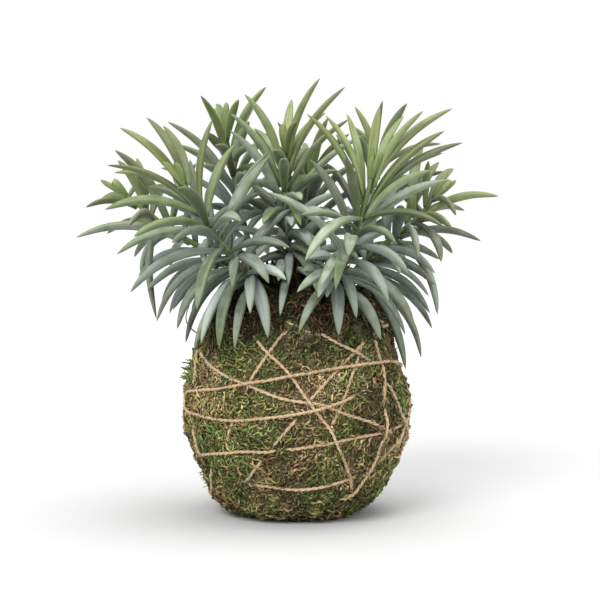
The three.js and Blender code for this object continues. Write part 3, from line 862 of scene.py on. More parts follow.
def soft_noise(points: Array, scale: float, seed: float, octaves: int = 2) -> Array:
    """Smooth noise of about -1 to 1.

    Args:
        points: where it is read, in metres.
        scale: its features a metre.
        seed: which noise it is.
        octaves: how many layers it has.

    Returns:
        Its value at each point.
    """
    shift = Vector((seed, seed * 1.7, -seed))
    return np.array([noise.fractal(Vector(p) * scale + shift, 1.0, 2.0, octaves)
                     for p in points])


@dataclass(frozen=True)
class Drift:
    """A slow change from place to place: its features a metre, its seed and its strength."""

    scale: float
    seed: float
    strength: float
    octaves: int = 2

    def at(self, points: Array) -> Array:
        """How far it goes at points, from about -strength to strength."""
        return self.strength * soft_noise(points, self.scale, self.seed, self.octaves)

    def along(self, run: Array, lane: tuple[float, float] = (0, 0)) -> Array:
        """How far it goes along a line; each lane has its own."""
        return self.at(np.column_stack([run, run * 0 + lane[0], run * 0 + lane[1]]))


@dataclass
class MossShape:
    """The ball's outline, and the relief that lets the moss bulge up to its twine.

    The outline is a list of radius and height. A swell is a bearing in degrees, a height, how
    far the ball stands out there, and how wide that is.
    """

    outline: tuple = ((0, 0), (20, 0), (32, 3), (40, 9), (45.5, 18), (52, 33.5), (55.8, 48),
                      (56.4, 60), (53, 74), (48.5, 87), (44, 100), (39, 108), (34, 112),
                      (31, 113.3), (29, 113), (14, 114.2), (0, 114.6))
    middle: float = 56 * MM
    swells: tuple = ((-90, 24, 1.0, 10), (-90, 60, -1.0, 16), (92, 82, -2.6, 17))
    swell_radius: float = 54 * MM
    rows: int = 130
    columns: int = 260
    batches: int = 40
    wide: float = 5.0 * MM
    narrow: float = 1.5 * MM
    hold: float = 0.9
    pinch: float = 1.6
    under_twine: float = 1.15 * MM
    fullness: float = 0.24 * MM
    pillows: Drift = Drift(48.0, 3.1, 2.4 * MM)
    lumps: Drift = Drift(130.0, 7.7, 1.1 * MM, 3)
    held_bulge: float = 0.45
    foot_tilt: float = 0.45
    relief: Array | None = None
    drawn: Array | None = None

    def __post_init__(self) -> None:
        """Works out the outline as a distance from the ball's middle for each tilt."""
        line = smooth_line(np.array(self.outline, float), 12) * MM
        tilt = np.arctan2(line[:, 0], line[:, 1] - self.middle)
        order = np.argsort(tilt)
        self.tilts = tilt[order]
        self.reaches = np.hypot(line[:, 0], line[:, 1] - self.middle)[order]

    def split(self, points: Array) -> tuple[Array, Array, Array]:
        """Bearing from the front, tilt from the top and distance from the middle.

        Args:
            points: the points.

        Returns:
            A bearing, a tilt and a distance for each.
        """
        rise = points[:, 2] - self.middle
        flat = np.hypot(points[:, 0], points[:, 1])
        return (np.arctan2(points[:, 0], -points[:, 1]), np.arctan2(flat, rise),
                np.hypot(flat, rise))

    def way(self, bearing: Array, tilt: Array) -> Array:
        """The direction from the middle at a bearing and a tilt."""
        return np.stack([np.sin(bearing) * np.sin(tilt), -np.cos(bearing) * np.sin(tilt),
                         np.cos(tilt)], axis=1)

    def plain(self, tilt: Array) -> Array:
        """How far the outline is from the middle."""
        return np.interp(tilt, self.tilts, self.reaches)

    def reach(self, bearing: Array, tilt: Array) -> Array:
        """How far the ball is from its middle, with its swells.

        Args:
            bearing: the bearings from the front.
            tilt: the tilts from the top.

        Returns:
            The distances, without the relief.
        """
        plain = self.plain(tilt)
        points = self.way(bearing, tilt) * plain[:, None]
        reach = plain
        for turn, height, amount, spread in self.swells:
            turn = math.radians(turn)
            centre = np.array([math.sin(turn) * self.swell_radius,
                               -math.cos(turn) * self.swell_radius, height * MM - self.middle])
            apart = ((points - centre) ** 2).sum(1)
            reach = reach + amount * MM * np.exp(-apart / (2 * (spread * MM) ** 2))
        return reach

    def felt(self, points: Array, twine: Array, hidden: Array) -> list[tuple[Array, Array]]:
        """How the twine that shows is felt over the ball.

        Args:
            points: places on the ball, from its middle.
            twine: points along the twine.
            hidden: how far the moss covers each of them, from 0 to 1.

        Returns:
            The twine's lift and its presence at each place, through a wide brush and then
            through a narrow one.
        """
        bearing, tilt, reach = self.split(twine)
        under = self.reach(bearing, tilt)
        base = unit(twine - [0, 0, self.middle]) * under[:, None]
        brushes = [(spread, np.zeros(len(points)), np.zeros(len(points)))
                   for spread in (self.wide, self.narrow)]
        # The places are taken in batches, because a table of all distances would be large.
        for rows in np.array_split(np.arange(len(points)), self.batches):
            apart = ((points[rows, None, :] - base[None, :, :]) ** 2).sum(2)
            for spread, lift, presence in brushes:
                weight = np.exp(-apart / (2 * spread ** 2)) * (1 - hidden)[None, :]
                presence[rows] = weight.sum(1)
                lift[rows] = weight @ (reach - under)
        return [(lift / np.maximum(presence, 1e-9), presence) for _, lift, presence in brushes]

    def raise_to(self, twine: Array, hidden: Array) -> None:
        """Builds the relief: pillows of moss, drawn in and held up under the twine.

        Args:
            twine: points along the twine.
            hidden: how far the moss covers each of them, from 0 to 1.
        """
        tilt, bearing = np.meshgrid(np.linspace(0, math.pi, self.rows),
                                    np.linspace(-math.pi, math.pi, self.columns, endpoint=False),
                                    indexing="ij")
        tilt, bearing = tilt.ravel(), bearing.ravel()
        points = self.way(bearing, tilt) * self.reach(bearing, tilt)[:, None]
        (support, held), (line, drawn) = self.felt(points, twine, hidden)
        bulge = self.fullness + self.pillows.at(points) + self.lumps.at(points)
        strength = 1 - np.exp(-held * self.hold)
        supported = support - self.under_twine + bulge * self.held_bulge
        relief = bulge * (1 - strength) + supported * strength
        draw = 1 - np.exp(-drawn * self.pinch)
        relief = relief * (1 - draw) + np.minimum(relief, line - self.under_twine) * draw
        foot = np.clip((math.pi - tilt) / self.foot_tilt - 0.5, 0, 1)
        self.relief = (relief * foot).reshape(self.rows, self.columns)
        self.drawn = draw.reshape(self.rows, self.columns)

    def sampled(self, grid: Array, bearing: Array, tilt: Array) -> Array:
        """A grid's value between the four nearest places that it knows.

        Args:
            grid: the relief or the drawn grid.
            bearing: the bearings from the front.
            tilt: the tilts from the top.

        Returns:
            The values.
        """
        row = np.clip(tilt / math.pi * (self.rows - 1), 0, self.rows - 1.001)
        column = (bearing + math.pi) / FULL_TURN * self.columns
        r, c = row.astype(int), np.floor(column).astype(int)
        u, v = row - r, column - c
        low, high = c % self.columns, (c + 1) % self.columns
        return ((grid[r, low] * (1 - v) + grid[r, high] * v) * (1 - u)
                + (grid[r + 1, low] * (1 - v) + grid[r + 1, high] * v) * u)

    def near_twine(self, points: Array) -> Array:
        """How near points are to a stretch of twine that shows, from 0 to 1."""
        bearing, tilt, _ = self.split(points)
        return self.sampled(self.drawn, bearing, tilt)

    def on(self, points: Array, above: Array | float = 0.0) -> Array:
        """Points moved to the moss surface along their line from the middle.

        Args:
            points: the points.
            above: how far above the surface they end.

        Returns:
            The moved points.
        """
        bearing, tilt, _ = self.split(points)
        height = self.sampled(self.relief, bearing, tilt)
        reach = self.reach(bearing, tilt) + height + above
        return self.way(bearing, tilt) * reach[:, None] + [0, 0, self.middle]

    def beside(self, bearing: Array, radius: Array | float, height: Array | float) -> Array:
        """Points on the moss, straight out from places round the upright axis.

        Args:
            bearing: the places' bearings from the front.
            radius: how far from the axis they are.
            height: how high they are.

        Returns:
            The points on the surface.
        """
        rows = np.broadcast_arrays(np.sin(bearing) * radius, -np.cos(bearing) * radius, height)
        return self.on(np.column_stack(rows))


@dataclass
class MossBed:
    """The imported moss: a thick wrap, open at the neck round the soil.

    The lip and the inside are lists of radius and height.
    """

    shape: MossShape
    facets: int = 64
    rings: int = 20
    lip: tuple = ((31, 113.4), (29.4, 113.2), (28.9, 111))
    inside: tuple = ((28.9, 105), (38, 99), (44, 84), (49.2, 62), (48, 42), (41, 24), (30, 14.2))
    skin: float = 2.5 * MM
    neck_tilt: float = 0.56
    under_strands: float = 0.5 * MM
    least_height: float = 0.2 * MM

    def profile(self) -> list[tuple[float, float]]:
        """Radius and height from the flat spot up, over the lip and down the inside.

        Returns:
            The profile's points, in millimetres.
        """
        outer = smooth_line(np.array(self.shape.outline[1:13], float), 8)
        pick = np.linspace(0, len(outer) - 1, self.rings).round().astype(int)
        return [tuple(outer[k]) for k in pick] + list(self.lip) + list(self.inside)

    def build(self) -> bpy.types.Object:
        """Extrudes a disc along the profile, subdivides it and raises its outside.

        Returns:
            The bed.
        """
        deselect()
        (radius, _), *rest = self.profile()
        bpy.ops.mesh.primitive_circle_add(vertices=self.facets, radius=radius,
                                          fill_type="NGON")
        bed = bpy.context.object
        bed.name = bed.data.name = "moss_bed"
        bpy.ops.object.mode_set(mode="EDIT")
        bpy.ops.mesh.select_all(action="SELECT")
        height = 0.0
        for wide, high in rest:
            bpy.ops.mesh.extrude_region_move(
                TRANSFORM_OT_translate={"value": (0, 0, high - height)})
            bpy.ops.transform.resize(value=(wide / radius, wide / radius, 1),
                                     center_override=(0, 0, high))
            radius, height = wide, high
        bpy.ops.mesh.select_all(action="SELECT")
        bpy.ops.mesh.normals_make_consistent(inside=False)
        bpy.ops.transform.resize(value=(MM, MM, MM), center_override=(0, 0, 0))
        bpy.ops.object.mode_set(mode="OBJECT")
        rounding = bed.modifiers.new("rounding", "SUBSURF")
        rounding.levels = rounding.render_levels = 2
        bpy.ops.object.modifier_apply(modifier=rounding.name)
        self.raise_outside(bed)
        bpy.ops.object.shade_smooth()
        return bed

    def raise_outside(self, bed: bpy.types.Object) -> None:
        """Moves the outer vertices to just under the moss surface, and leaves the inside.

        Args:
            bed: the bed.
        """
        points = np.zeros(len(bed.data.vertices) * 3)
        bed.data.vertices.foreach_get("co", points)
        points = points.reshape(-1, 3)
        _, tilt, reach = self.shape.split(points)
        outside = (reach > self.shape.plain(tilt) - self.skin) & (tilt > self.neck_tilt)
        moved = self.shape.on(points[outside], -self.under_strands)
        moved[:, 2] = np.maximum(moved[:, 2], self.least_height)
        points[outside] = moved
        bed.data.vertices.foreach_set("co", points.ravel())
        bed.data.update()


class MossTone(Enum):
    """The colours that single strands of moss have, and how common each is.

    Each value is a colour, the share of the strands that have it, and what is added to that
    share where the moss is green, where it is pale and where it is low.
    """

    OLIVE = ((0.362, 0.304, 0.122), (0.30, 0.0, 0.0, 0.0))
    TAN = ((0.472, 0.356, 0.192), (0.18, -0.40, 0.15, 0.0))
    STRAW = ((0.450, 0.375, 0.225), (0.02, -0.10, 0.12, 0.0))
    GREEN = ((0.160, 0.232, 0.070), (0.17, 0.44, 0.0, 0.20))
    LIME = ((0.275, 0.298, 0.110), (0.10, 0.24, 0.14, 0.10))
    DARK = ((0.105, 0.095, 0.044), (0.12, 0.0, -0.25, 0.0))
    BROWN = ((0.235, 0.145, 0.078), (0.10, -0.30, -0.10, 0.0))

    @classmethod
    def picked(cls, rng: np.random.Generator, green: Array, pale: Array, low: Array) -> Array:
        """A colour for each strand.

        Args:
            rng: the source of chance.
            green: how green the moss is there.
            pale: how pale it is.
            low: how near the ground it is.

        Returns:
            The colours, one row a strand.
        """
        colours = np.array([tone.value[0] for tone in cls])
        shares = np.array([tone.value[1] for tone in cls])
        here = np.stack([np.ones(len(green)), green, pale, low], axis=1)
        weights = (here @ shares.T).clip(0.01)
        weights = (weights / weights.sum(1, keepdims=True)).cumsum(1)
        pick = (rng.random(len(green))[:, None] > weights).sum(1)
        return colours[pick.clip(0, len(colours) - 1)]


class StrandKind(Enum):
    """How a strand grows: each value is its steps' turns and its steps' rises."""

    CURL = ((0.45, 0.55, 0.4, 0.6, 0.8, 0.5), (0.9, 0.6, 0.1, -0.3, -0.6, -0.6))
    WAVE = ((0.6, 0.2, -0.7, -0.8, 0.5, 0.8), (0.8, 0.5, 0.3, -0.2, -0.5, -0.7))
    HOOK = ((0.0, 0.1, 0.3, 0.6, 1.0, 1.1), (0.9, 0.7, 0.4, 0.1, -0.3, -0.7))
    SPRAY = ((-0.3, 0.3, 0.4, -0.4, 0.3, -0.2), (0.5, 0.6, 0.6, 0.5, 0.4, 0.3))

    def blank(self, radius: float = 0.50) -> Blank:
        """Models one strand 10 mm long, with the uneven width of leafy moss.

        Args:
            radius: its radius at the foot, in millimetres.

        Returns:
            The strand.
        """
        widths = (1.45, 0.72, 1.35, 0.75, 1.15, 0.3)
        steps = [Step(10 / len(widths), turn, rise, width)
                 for turn, rise, width in zip(*self.value, widths)]
        return Blank.swept(3, radius, steps)


@dataclass
class Strands:
    """Many strands of moss or fibre, laid on the ball as one piece."""

    name: str
    shape: MossShape
    blank: Blank
    foot_light: float = 0.74
    tip_gain: float = 0.42
    least_height: float = 0.3 * MM

    def bases(self, points: Array, angles: Array, lean: Array | float) -> tuple[Array, ...]:
        """The three directions of each strand.

        Args:
            points: where the strands start.
            angles: their headings round the surface's normal.
            lean: how far they stand up from the surface, in radians.

        Returns:
            Along, across and up, one row a strand.
        """
        lean = lean + np.zeros(len(points))
        up = unit(points - [0, 0, self.shape.middle])
        east = unit(np.cross([0.0, 0.0, 1.0], up) + [1e-9, 0, 0])
        north = np.cross(up, east)
        flat = east * np.cos(angles)[:, None] + north * np.sin(angles)[:, None]
        along = flat * np.cos(lean)[:, None] + up * np.sin(lean)[:, None]
        across = unit(np.cross(up, along))
        return along, across, np.cross(along, across)

    def build(self, points: Array, angles: Array, sizes: Array, tints: Array,
              lean: Array | None = None, sunk: Array | float = 0.0) -> bpy.types.Object:
        """Lays a copy of the blank at each point.

        Args:
            points: where the strands start.
            angles: their headings.
            sizes: their lengths, widths and rises as shares of the blank's.
            tints: their colours.
            lean: how far they stand up; without it they hug the surface.
            sunk: how deep they start.

        Returns:
            The piece, with its tint attribute.
        """
        along, across, up = self.bases(points, angles, 0.0 if lean is None else lean)
        local = self.blank.points[None] * MM * sizes[:, None, :]
        flat = (points[:, None, :] + local[..., :1] * along[:, None]
                + local[..., 1:2] * across[:, None])
        if lean is None:
            rise = (local[..., 2] - np.reshape(sunk, (-1, 1))).ravel()
            laid = self.shape.on(flat.reshape(-1, 3), rise)
        else:
            laid = (flat + local[..., 2:] * up[:, None]).reshape(-1, 3)
        laid[:, 2] = np.maximum(laid[:, 2], self.least_height)
        piece = piece_of(self.name, laid, *self.blank.copied(len(points)))
        # Painted shade: each strand is darker at its foot, down in the moss, and lighter towards its
        # tip.
        light = self.foot_light + self.tip_gain * np.tile(self.blank.along, len(points))
        set_tints(piece, np.repeat(tints, len(self.blank.points), axis=0) * light[:, None])
        return piece


@dataclass
class MossCoat:
    """All the strands that lie on the ball, by kind.

    A marked patch is its place from side to side, its height and its width, and how much
    greener, paler and lighter the moss is there. A clump of fibres is a bearing, a height and
    a count, and a tuft also has its strands' size.
    """

    shape: MossShape
    seed: int = 41
    marked: tuple = ((-5, 84, 6, 0.7, 0.0, 0.1), (36, 80, 5, 0.6, 0.0, 0.0),
                     (-43, 66, 7, 0.3, 0.5, 0.1), (-49, 42, 6, 0.5, 0.2, 0.0),
                     (-36, 55, 7, 0.1, 0.7, 0.2), (35, 55, 6, -0.8, -0.4, -0.25),
                     (46, 68, 5, -0.7, -0.5, -0.3), (18, 68, 6, -0.5, 0.5, 0.1),
                     (-31, 39, 6, 0.4, 0.3, 0.15), (-20, 11, 6, 0.8, 0.3, 0.25),
                     (-6, 15, 4, -0.2, -0.8, -0.4), (15, 46, 6, 0.5, 0.4, 0.25),
                     (27, 27, 6, -0.7, -0.3, -0.2), (50, 57, 5, 0.7, -0.2, -0.1),
                     (-42, 90, 7, 0.5, -0.5, -0.3), (42, 86, 6, 0.6, -0.2, 0.0),
                     (-15, 32, 6, 0.1, 0.4, 0.1), (-8, 55, 6, 0.0, 0.4, 0.15))
    greener: Drift = Drift(42.0, 11.0, 1.7)
    paler: Drift = Drift(55.0, 23.0, 1.3)
    lighter: Drift = Drift(80.0, 47.0, 0.45)
    hollows: Drift = Drift(210.0, 57.0, 1.3)
    swirl: Drift = Drift(26.0, 31.0, 3.2)
    neck_start: float = 76 * MM
    neck_depth: float = 25 * MM
    neck_shade: float = 0.82
    low_below: float = 24 * MM
    low_shade: float = 0.35
    lying_count: int = 3700
    lying_lengths: tuple = (0.26, 0.82)
    lying_rises: tuple = (0.7, 1.5)
    flatter_by_twine: float = 0.6
    depth_shade: float = 0.38
    hollow_shade: float = 0.50
    top_tilt: float = 0.30
    bottom_tilt: float = 2.97
    inside: float = 50 * MM
    shoot_count: int = 1400
    shoot_lengths: tuple = (0.12, 0.34)
    tuft_lengths: tuple = (0.3, 0.75)
    shoot_leans: tuple = (0.25, 1.1)
    shoot_tint: tuple = (0.85, 1.0, 0.8)
    tufts: tuple = ((-92, 69, 34, 1.0), (-96, 65, 20, 0.8), (88, 40, 12, 0.6),
                    (-78, 14, 14, 0.6), (60, 9, 12, 0.5), (-15, 5, 12, 0.5),
                    (98, 82, 10, 0.5), (150, 60, 12, 0.6), (-150, 30, 12, 0.6))
    fibre_clumps: tuple = ((-33, 104, 22), (-20, 100, 20), (8, 108, 14), (13, 102, 20),
                           (19, 94, 18), (60, 105, 10), (-70, 104, 10), (140, 104, 16),
                           (-150, 105, 16))
    fibre_browns: tuple = ((0.13, 0.075, 0.036), (0.22, 0.135, 0.07), (0.06, 0.036, 0.02))
    upright_count: int = 520
    neck_radius: float = 29 * MM
    neck_height: float = 113 * MM
    over_twine: int = 120
    stray: tuple = ((-43, -3, 88), (-47, -5, 90), (-51, -8, 92), (-54.5, -9, 96),
                    (-55, -8, 100), (-53.5, -6, 105))
    stray_brown: tuple = (0.035, 0.026, 0.016)

    def patches(self, points: Array) -> Array:
        """How much greener, paler and lighter the moss is in the marked patches.

        Args:
            points: where the strands start.

        Returns:
            Three rows, with a value for each point.
        """
        made = np.zeros((3, len(points)))
        front = points[:, 1] < 0
        for x, z, spread, *change in self.marked:
            apart = (points[:, 0] - x * MM) ** 2 + (points[:, 2] - z * MM) ** 2
            weight = np.exp(-apart / (2 * (spread * MM) ** 2)) * front
            made += np.array(change)[:, None] * weight
        return made

    def scattered(self, rng: np.random.Generator, count: int) -> Array:
        """Points spread evenly over the ball, down from the neck.

        Args:
            rng: the source of chance.
            count: how many there are.

        Returns:
            The points.
        """
        bearing = rng.uniform(-math.pi, math.pi, count)
        rise = rng.uniform(math.cos(self.bottom_tilt), math.cos(self.top_tilt), count)
        inside = self.shape.way(bearing, np.arccos(rise)) * self.inside
        return self.shape.on(inside + [0, 0, self.shape.middle])

    def clump(self, rng: np.random.Generator, spot: tuple, spread: tuple[float, float],
              radius: float) -> Array:
        """Points gathered round a spot on the ball.

        Args:
            rng: the source of chance.
            spot: the bearing in degrees, the height in millimetres and the count.
            spread: how far the bearings and the heights stray.
            radius: how far from the axis the points are before they go to the surface.

        Returns:
            The points.
        """
        bearing, height, count = spot
        turn = np.radians(bearing) + rng.normal(0, spread[0], count)
        return self.shape.beside(turn, radius, height * MM + rng.normal(0, spread[1], count))

    def tints(self, rng: np.random.Generator, points: Array) -> Array:
        """A colour for each strand, in patches of green and brown, darker near the neck.

        Args:
            rng: the source of chance.
            points: where the strands start.

        Returns:
            The colours, one row a strand.
        """
        more_green, more_pale, more_light = self.patches(points)
        green = self.greener.at(points) + more_green
        pale = self.paler.at(points) + more_pale
        low = np.clip((self.low_below - points[:, 2]) / self.low_below, 0, 1)
        colours = MossTone.picked(rng, green, pale, low)
        neck = np.clip((points[:, 2] - self.neck_start) / self.neck_depth, 0, 1)
        light = (1 - self.neck_shade * neck) * (1 - self.low_shade * low)
        light *= rng.uniform(0.75, 1.25, len(points))
        light *= 1 + self.lighter.at(points) + more_light
        return colours * light[:, None] * (1 + rng.normal(0, 0.06, (len(points), 3)))

    def headings(self, rng: np.random.Generator, points: Array) -> Array:
        """Strand directions that swirl slowly over the ball, with a wide spread.

        Args:
            rng: the source of chance.
            points: where the strands start.

        Returns:
            The headings, in radians.
        """
        turned = rng.choice([0, math.pi], len(points))
        return self.swirl.at(points) + turned + rng.normal(0, 0.42, len(points))

    def lying(self, kind: StrandKind, number: int) -> bpy.types.Object:
        """One piece of strands that hug the ball, lighter the higher they lie.

        Args:
            kind: how the strands grow.
            number: the piece's number, from 0.

        Returns:
            The piece.
        """
        rng = np.random.default_rng([self.seed, number])
        count = self.lying_count
        points = self.scattered(rng, count)
        longer = rng.uniform(*self.lying_lengths, count)
        rise = rng.uniform(*self.lying_rises, count)
        rise *= 1 - self.flatter_by_twine * self.shape.near_twine(points)
        sizes = np.column_stack([longer, 0.85 * longer + 0.36, rise * longer + 0.12])
        depth = rng.random(count)
        hollow = np.clip(0.5 - self.hollows.at(points), 0, 1)
        light = 1.25 - self.depth_shade * depth - self.hollow_shade * hollow
        tints = self.tints(rng, points) * light[:, None]
        strands = Strands(f"moss_strands_{number + 1}", self.shape, kind.blank())
        return strands.build(points, self.headings(rng, points), sizes, tints,
                             sunk=(0.05 + 0.75 * depth) * MM)

    def standing(self) -> bpy.types.Object:
        """Short shoots all over, and the ragged tufts on the outline.

        Returns:
            The piece.
        """
        rng = np.random.default_rng([self.seed, 90])
        points = [self.scattered(rng, self.shoot_count)]
        sizes = [rng.uniform(*self.shoot_lengths, self.shoot_count)]
        for *spot, size in self.tufts:
            points.append(self.clump(rng, spot, (0.07, 3.0 * MM), self.inside))
            sizes.append(rng.uniform(*self.tuft_lengths, len(points[-1])) * size)
        points, sizes = np.vstack(points), np.concatenate(sizes)
        lean = rng.uniform(*self.shoot_leans, len(points))
        tints = self.tints(rng, points) * self.shoot_tint
        strands = Strands("moss_shoots", self.shape, StrandKind.SPRAY.blank())
        return strands.build(points, rng.uniform(0, FULL_TURN, len(points)),
                             np.column_stack([sizes] * 3), tints, lean=lean)

    def fibres(self) -> bpy.types.Object:
        """Brown root fibres that curl out of the moss near the neck.

        Returns:
            The piece.
        """
        rng = np.random.default_rng([self.seed, 91])
        points = np.vstack([self.clump(rng, spot, (0.09, 2.2 * MM), 42 * MM)
                            for spot in self.fibre_clumps])
        count = len(points)
        longer = rng.uniform(0.5, 1.3, count)
        sizes = np.column_stack([longer, longer, rng.uniform(0.8, 2.2, count)])
        angles = rng.uniform(0, FULL_TURN, count)
        tints = np.array(self.fibre_browns)[rng.integers(0, 3, count)]
        strands = Strands("root_fibres", self.shape, StrandKind.CURL.blank(0.3))
        return strands.build(points, angles, sizes, tints, sunk=0.1 * MM)

    def crown(self) -> bpy.types.Object:
        """Dark moss and roots that stand up from the soil between the stems.

        Returns:
            The piece.
        """
        rng = np.random.default_rng([self.seed, 92])
        count = self.upright_count
        turn, out = rng.uniform(-math.pi, math.pi, count), rng.random(count)
        points = self.shape.beside(turn, self.neck_radius * np.sqrt(out), self.neck_height)
        longer = rng.uniform(0.5, 1.5, count) * (1.1 - 0.5 * out)
        tints = self.tints(rng, points) * rng.uniform(0.5, 1.3, count)[:, None]
        strands = Strands("moss_upright", self.shape, StrandKind.SPRAY.blank())
        return strands.build(points, rng.uniform(0, FULL_TURN, count),
                             np.column_stack([longer] * 3), tints,
                             lean=rng.uniform(0.5, 1.4, count))

    def strays(self, line: Array, hidden: Array) -> bpy.types.Object:
        """Strands that grow over the twine and hold it.

        Args:
            line: points along the twine.
            hidden: how far the moss covers each of them, from 0 to 1.

        Returns:
            The piece.
        """
        rng = np.random.default_rng([self.seed, 93])
        count = self.over_twine
        points = self.shape.on(line[rng.choice(np.flatnonzero(hidden[:-1] < 0.5), count)])
        longer = rng.uniform(0.45, 0.8, count)
        strands = Strands("moss_strays", self.shape, StrandKind.WAVE.blank(0.4))
        angles = rng.uniform(-math.pi, math.pi, count)
        along, _, _ = strands.bases(points, angles, 0.0)
        points = self.shape.on(points - along * (longer * 3.5 * MM)[:, None])
        sizes = np.column_stack([longer, longer, rng.uniform(1.1, 1.7, count)])
        return strands.build(points, angles, sizes, self.tints(rng, points))

    def stray_root(self) -> bpy.types.Object:
        """One thin dark root that sticks out of the moss under the leaves.

        Returns:
            The piece.
        """
        line = smooth_line(np.array(self.stray, float) * MM, 5)
        radius = (0.42 - 0.2 * np.linspace(0, 1, len(line))) * MM
        piece = tube("stray_root", line, radius, 5)
        set_tints(piece, np.tile(self.stray_brown, (len(piece.data.vertices), 1)))
        return piece

    def build(self, line: Array, hidden: Array) -> None:
        """Makes and dresses every piece of moss.

        Args:
            line: points along the twine.
            hidden: how far the moss covers each of them, from 0 to 1.
        """
        finish = StrandFinish().material()
        kinds = (StrandKind.CURL, StrandKind.WAVE, StrandKind.HOOK, StrandKind.WAVE)
        for number, kind in enumerate(kinds):
            finish_piece(self.lying(kind, number), finish, "moss")
        finish_piece(self.standing(), finish, "moss")
        finish_piece(self.fibres(), finish, "soil")
        finish_piece(self.crown(), finish, "moss")
        finish_piece(self.strays(line, hidden), finish, "moss")
        finish_piece(self.stray_root(), finish, "soil")


# ---------------------------------------------------------------- twine


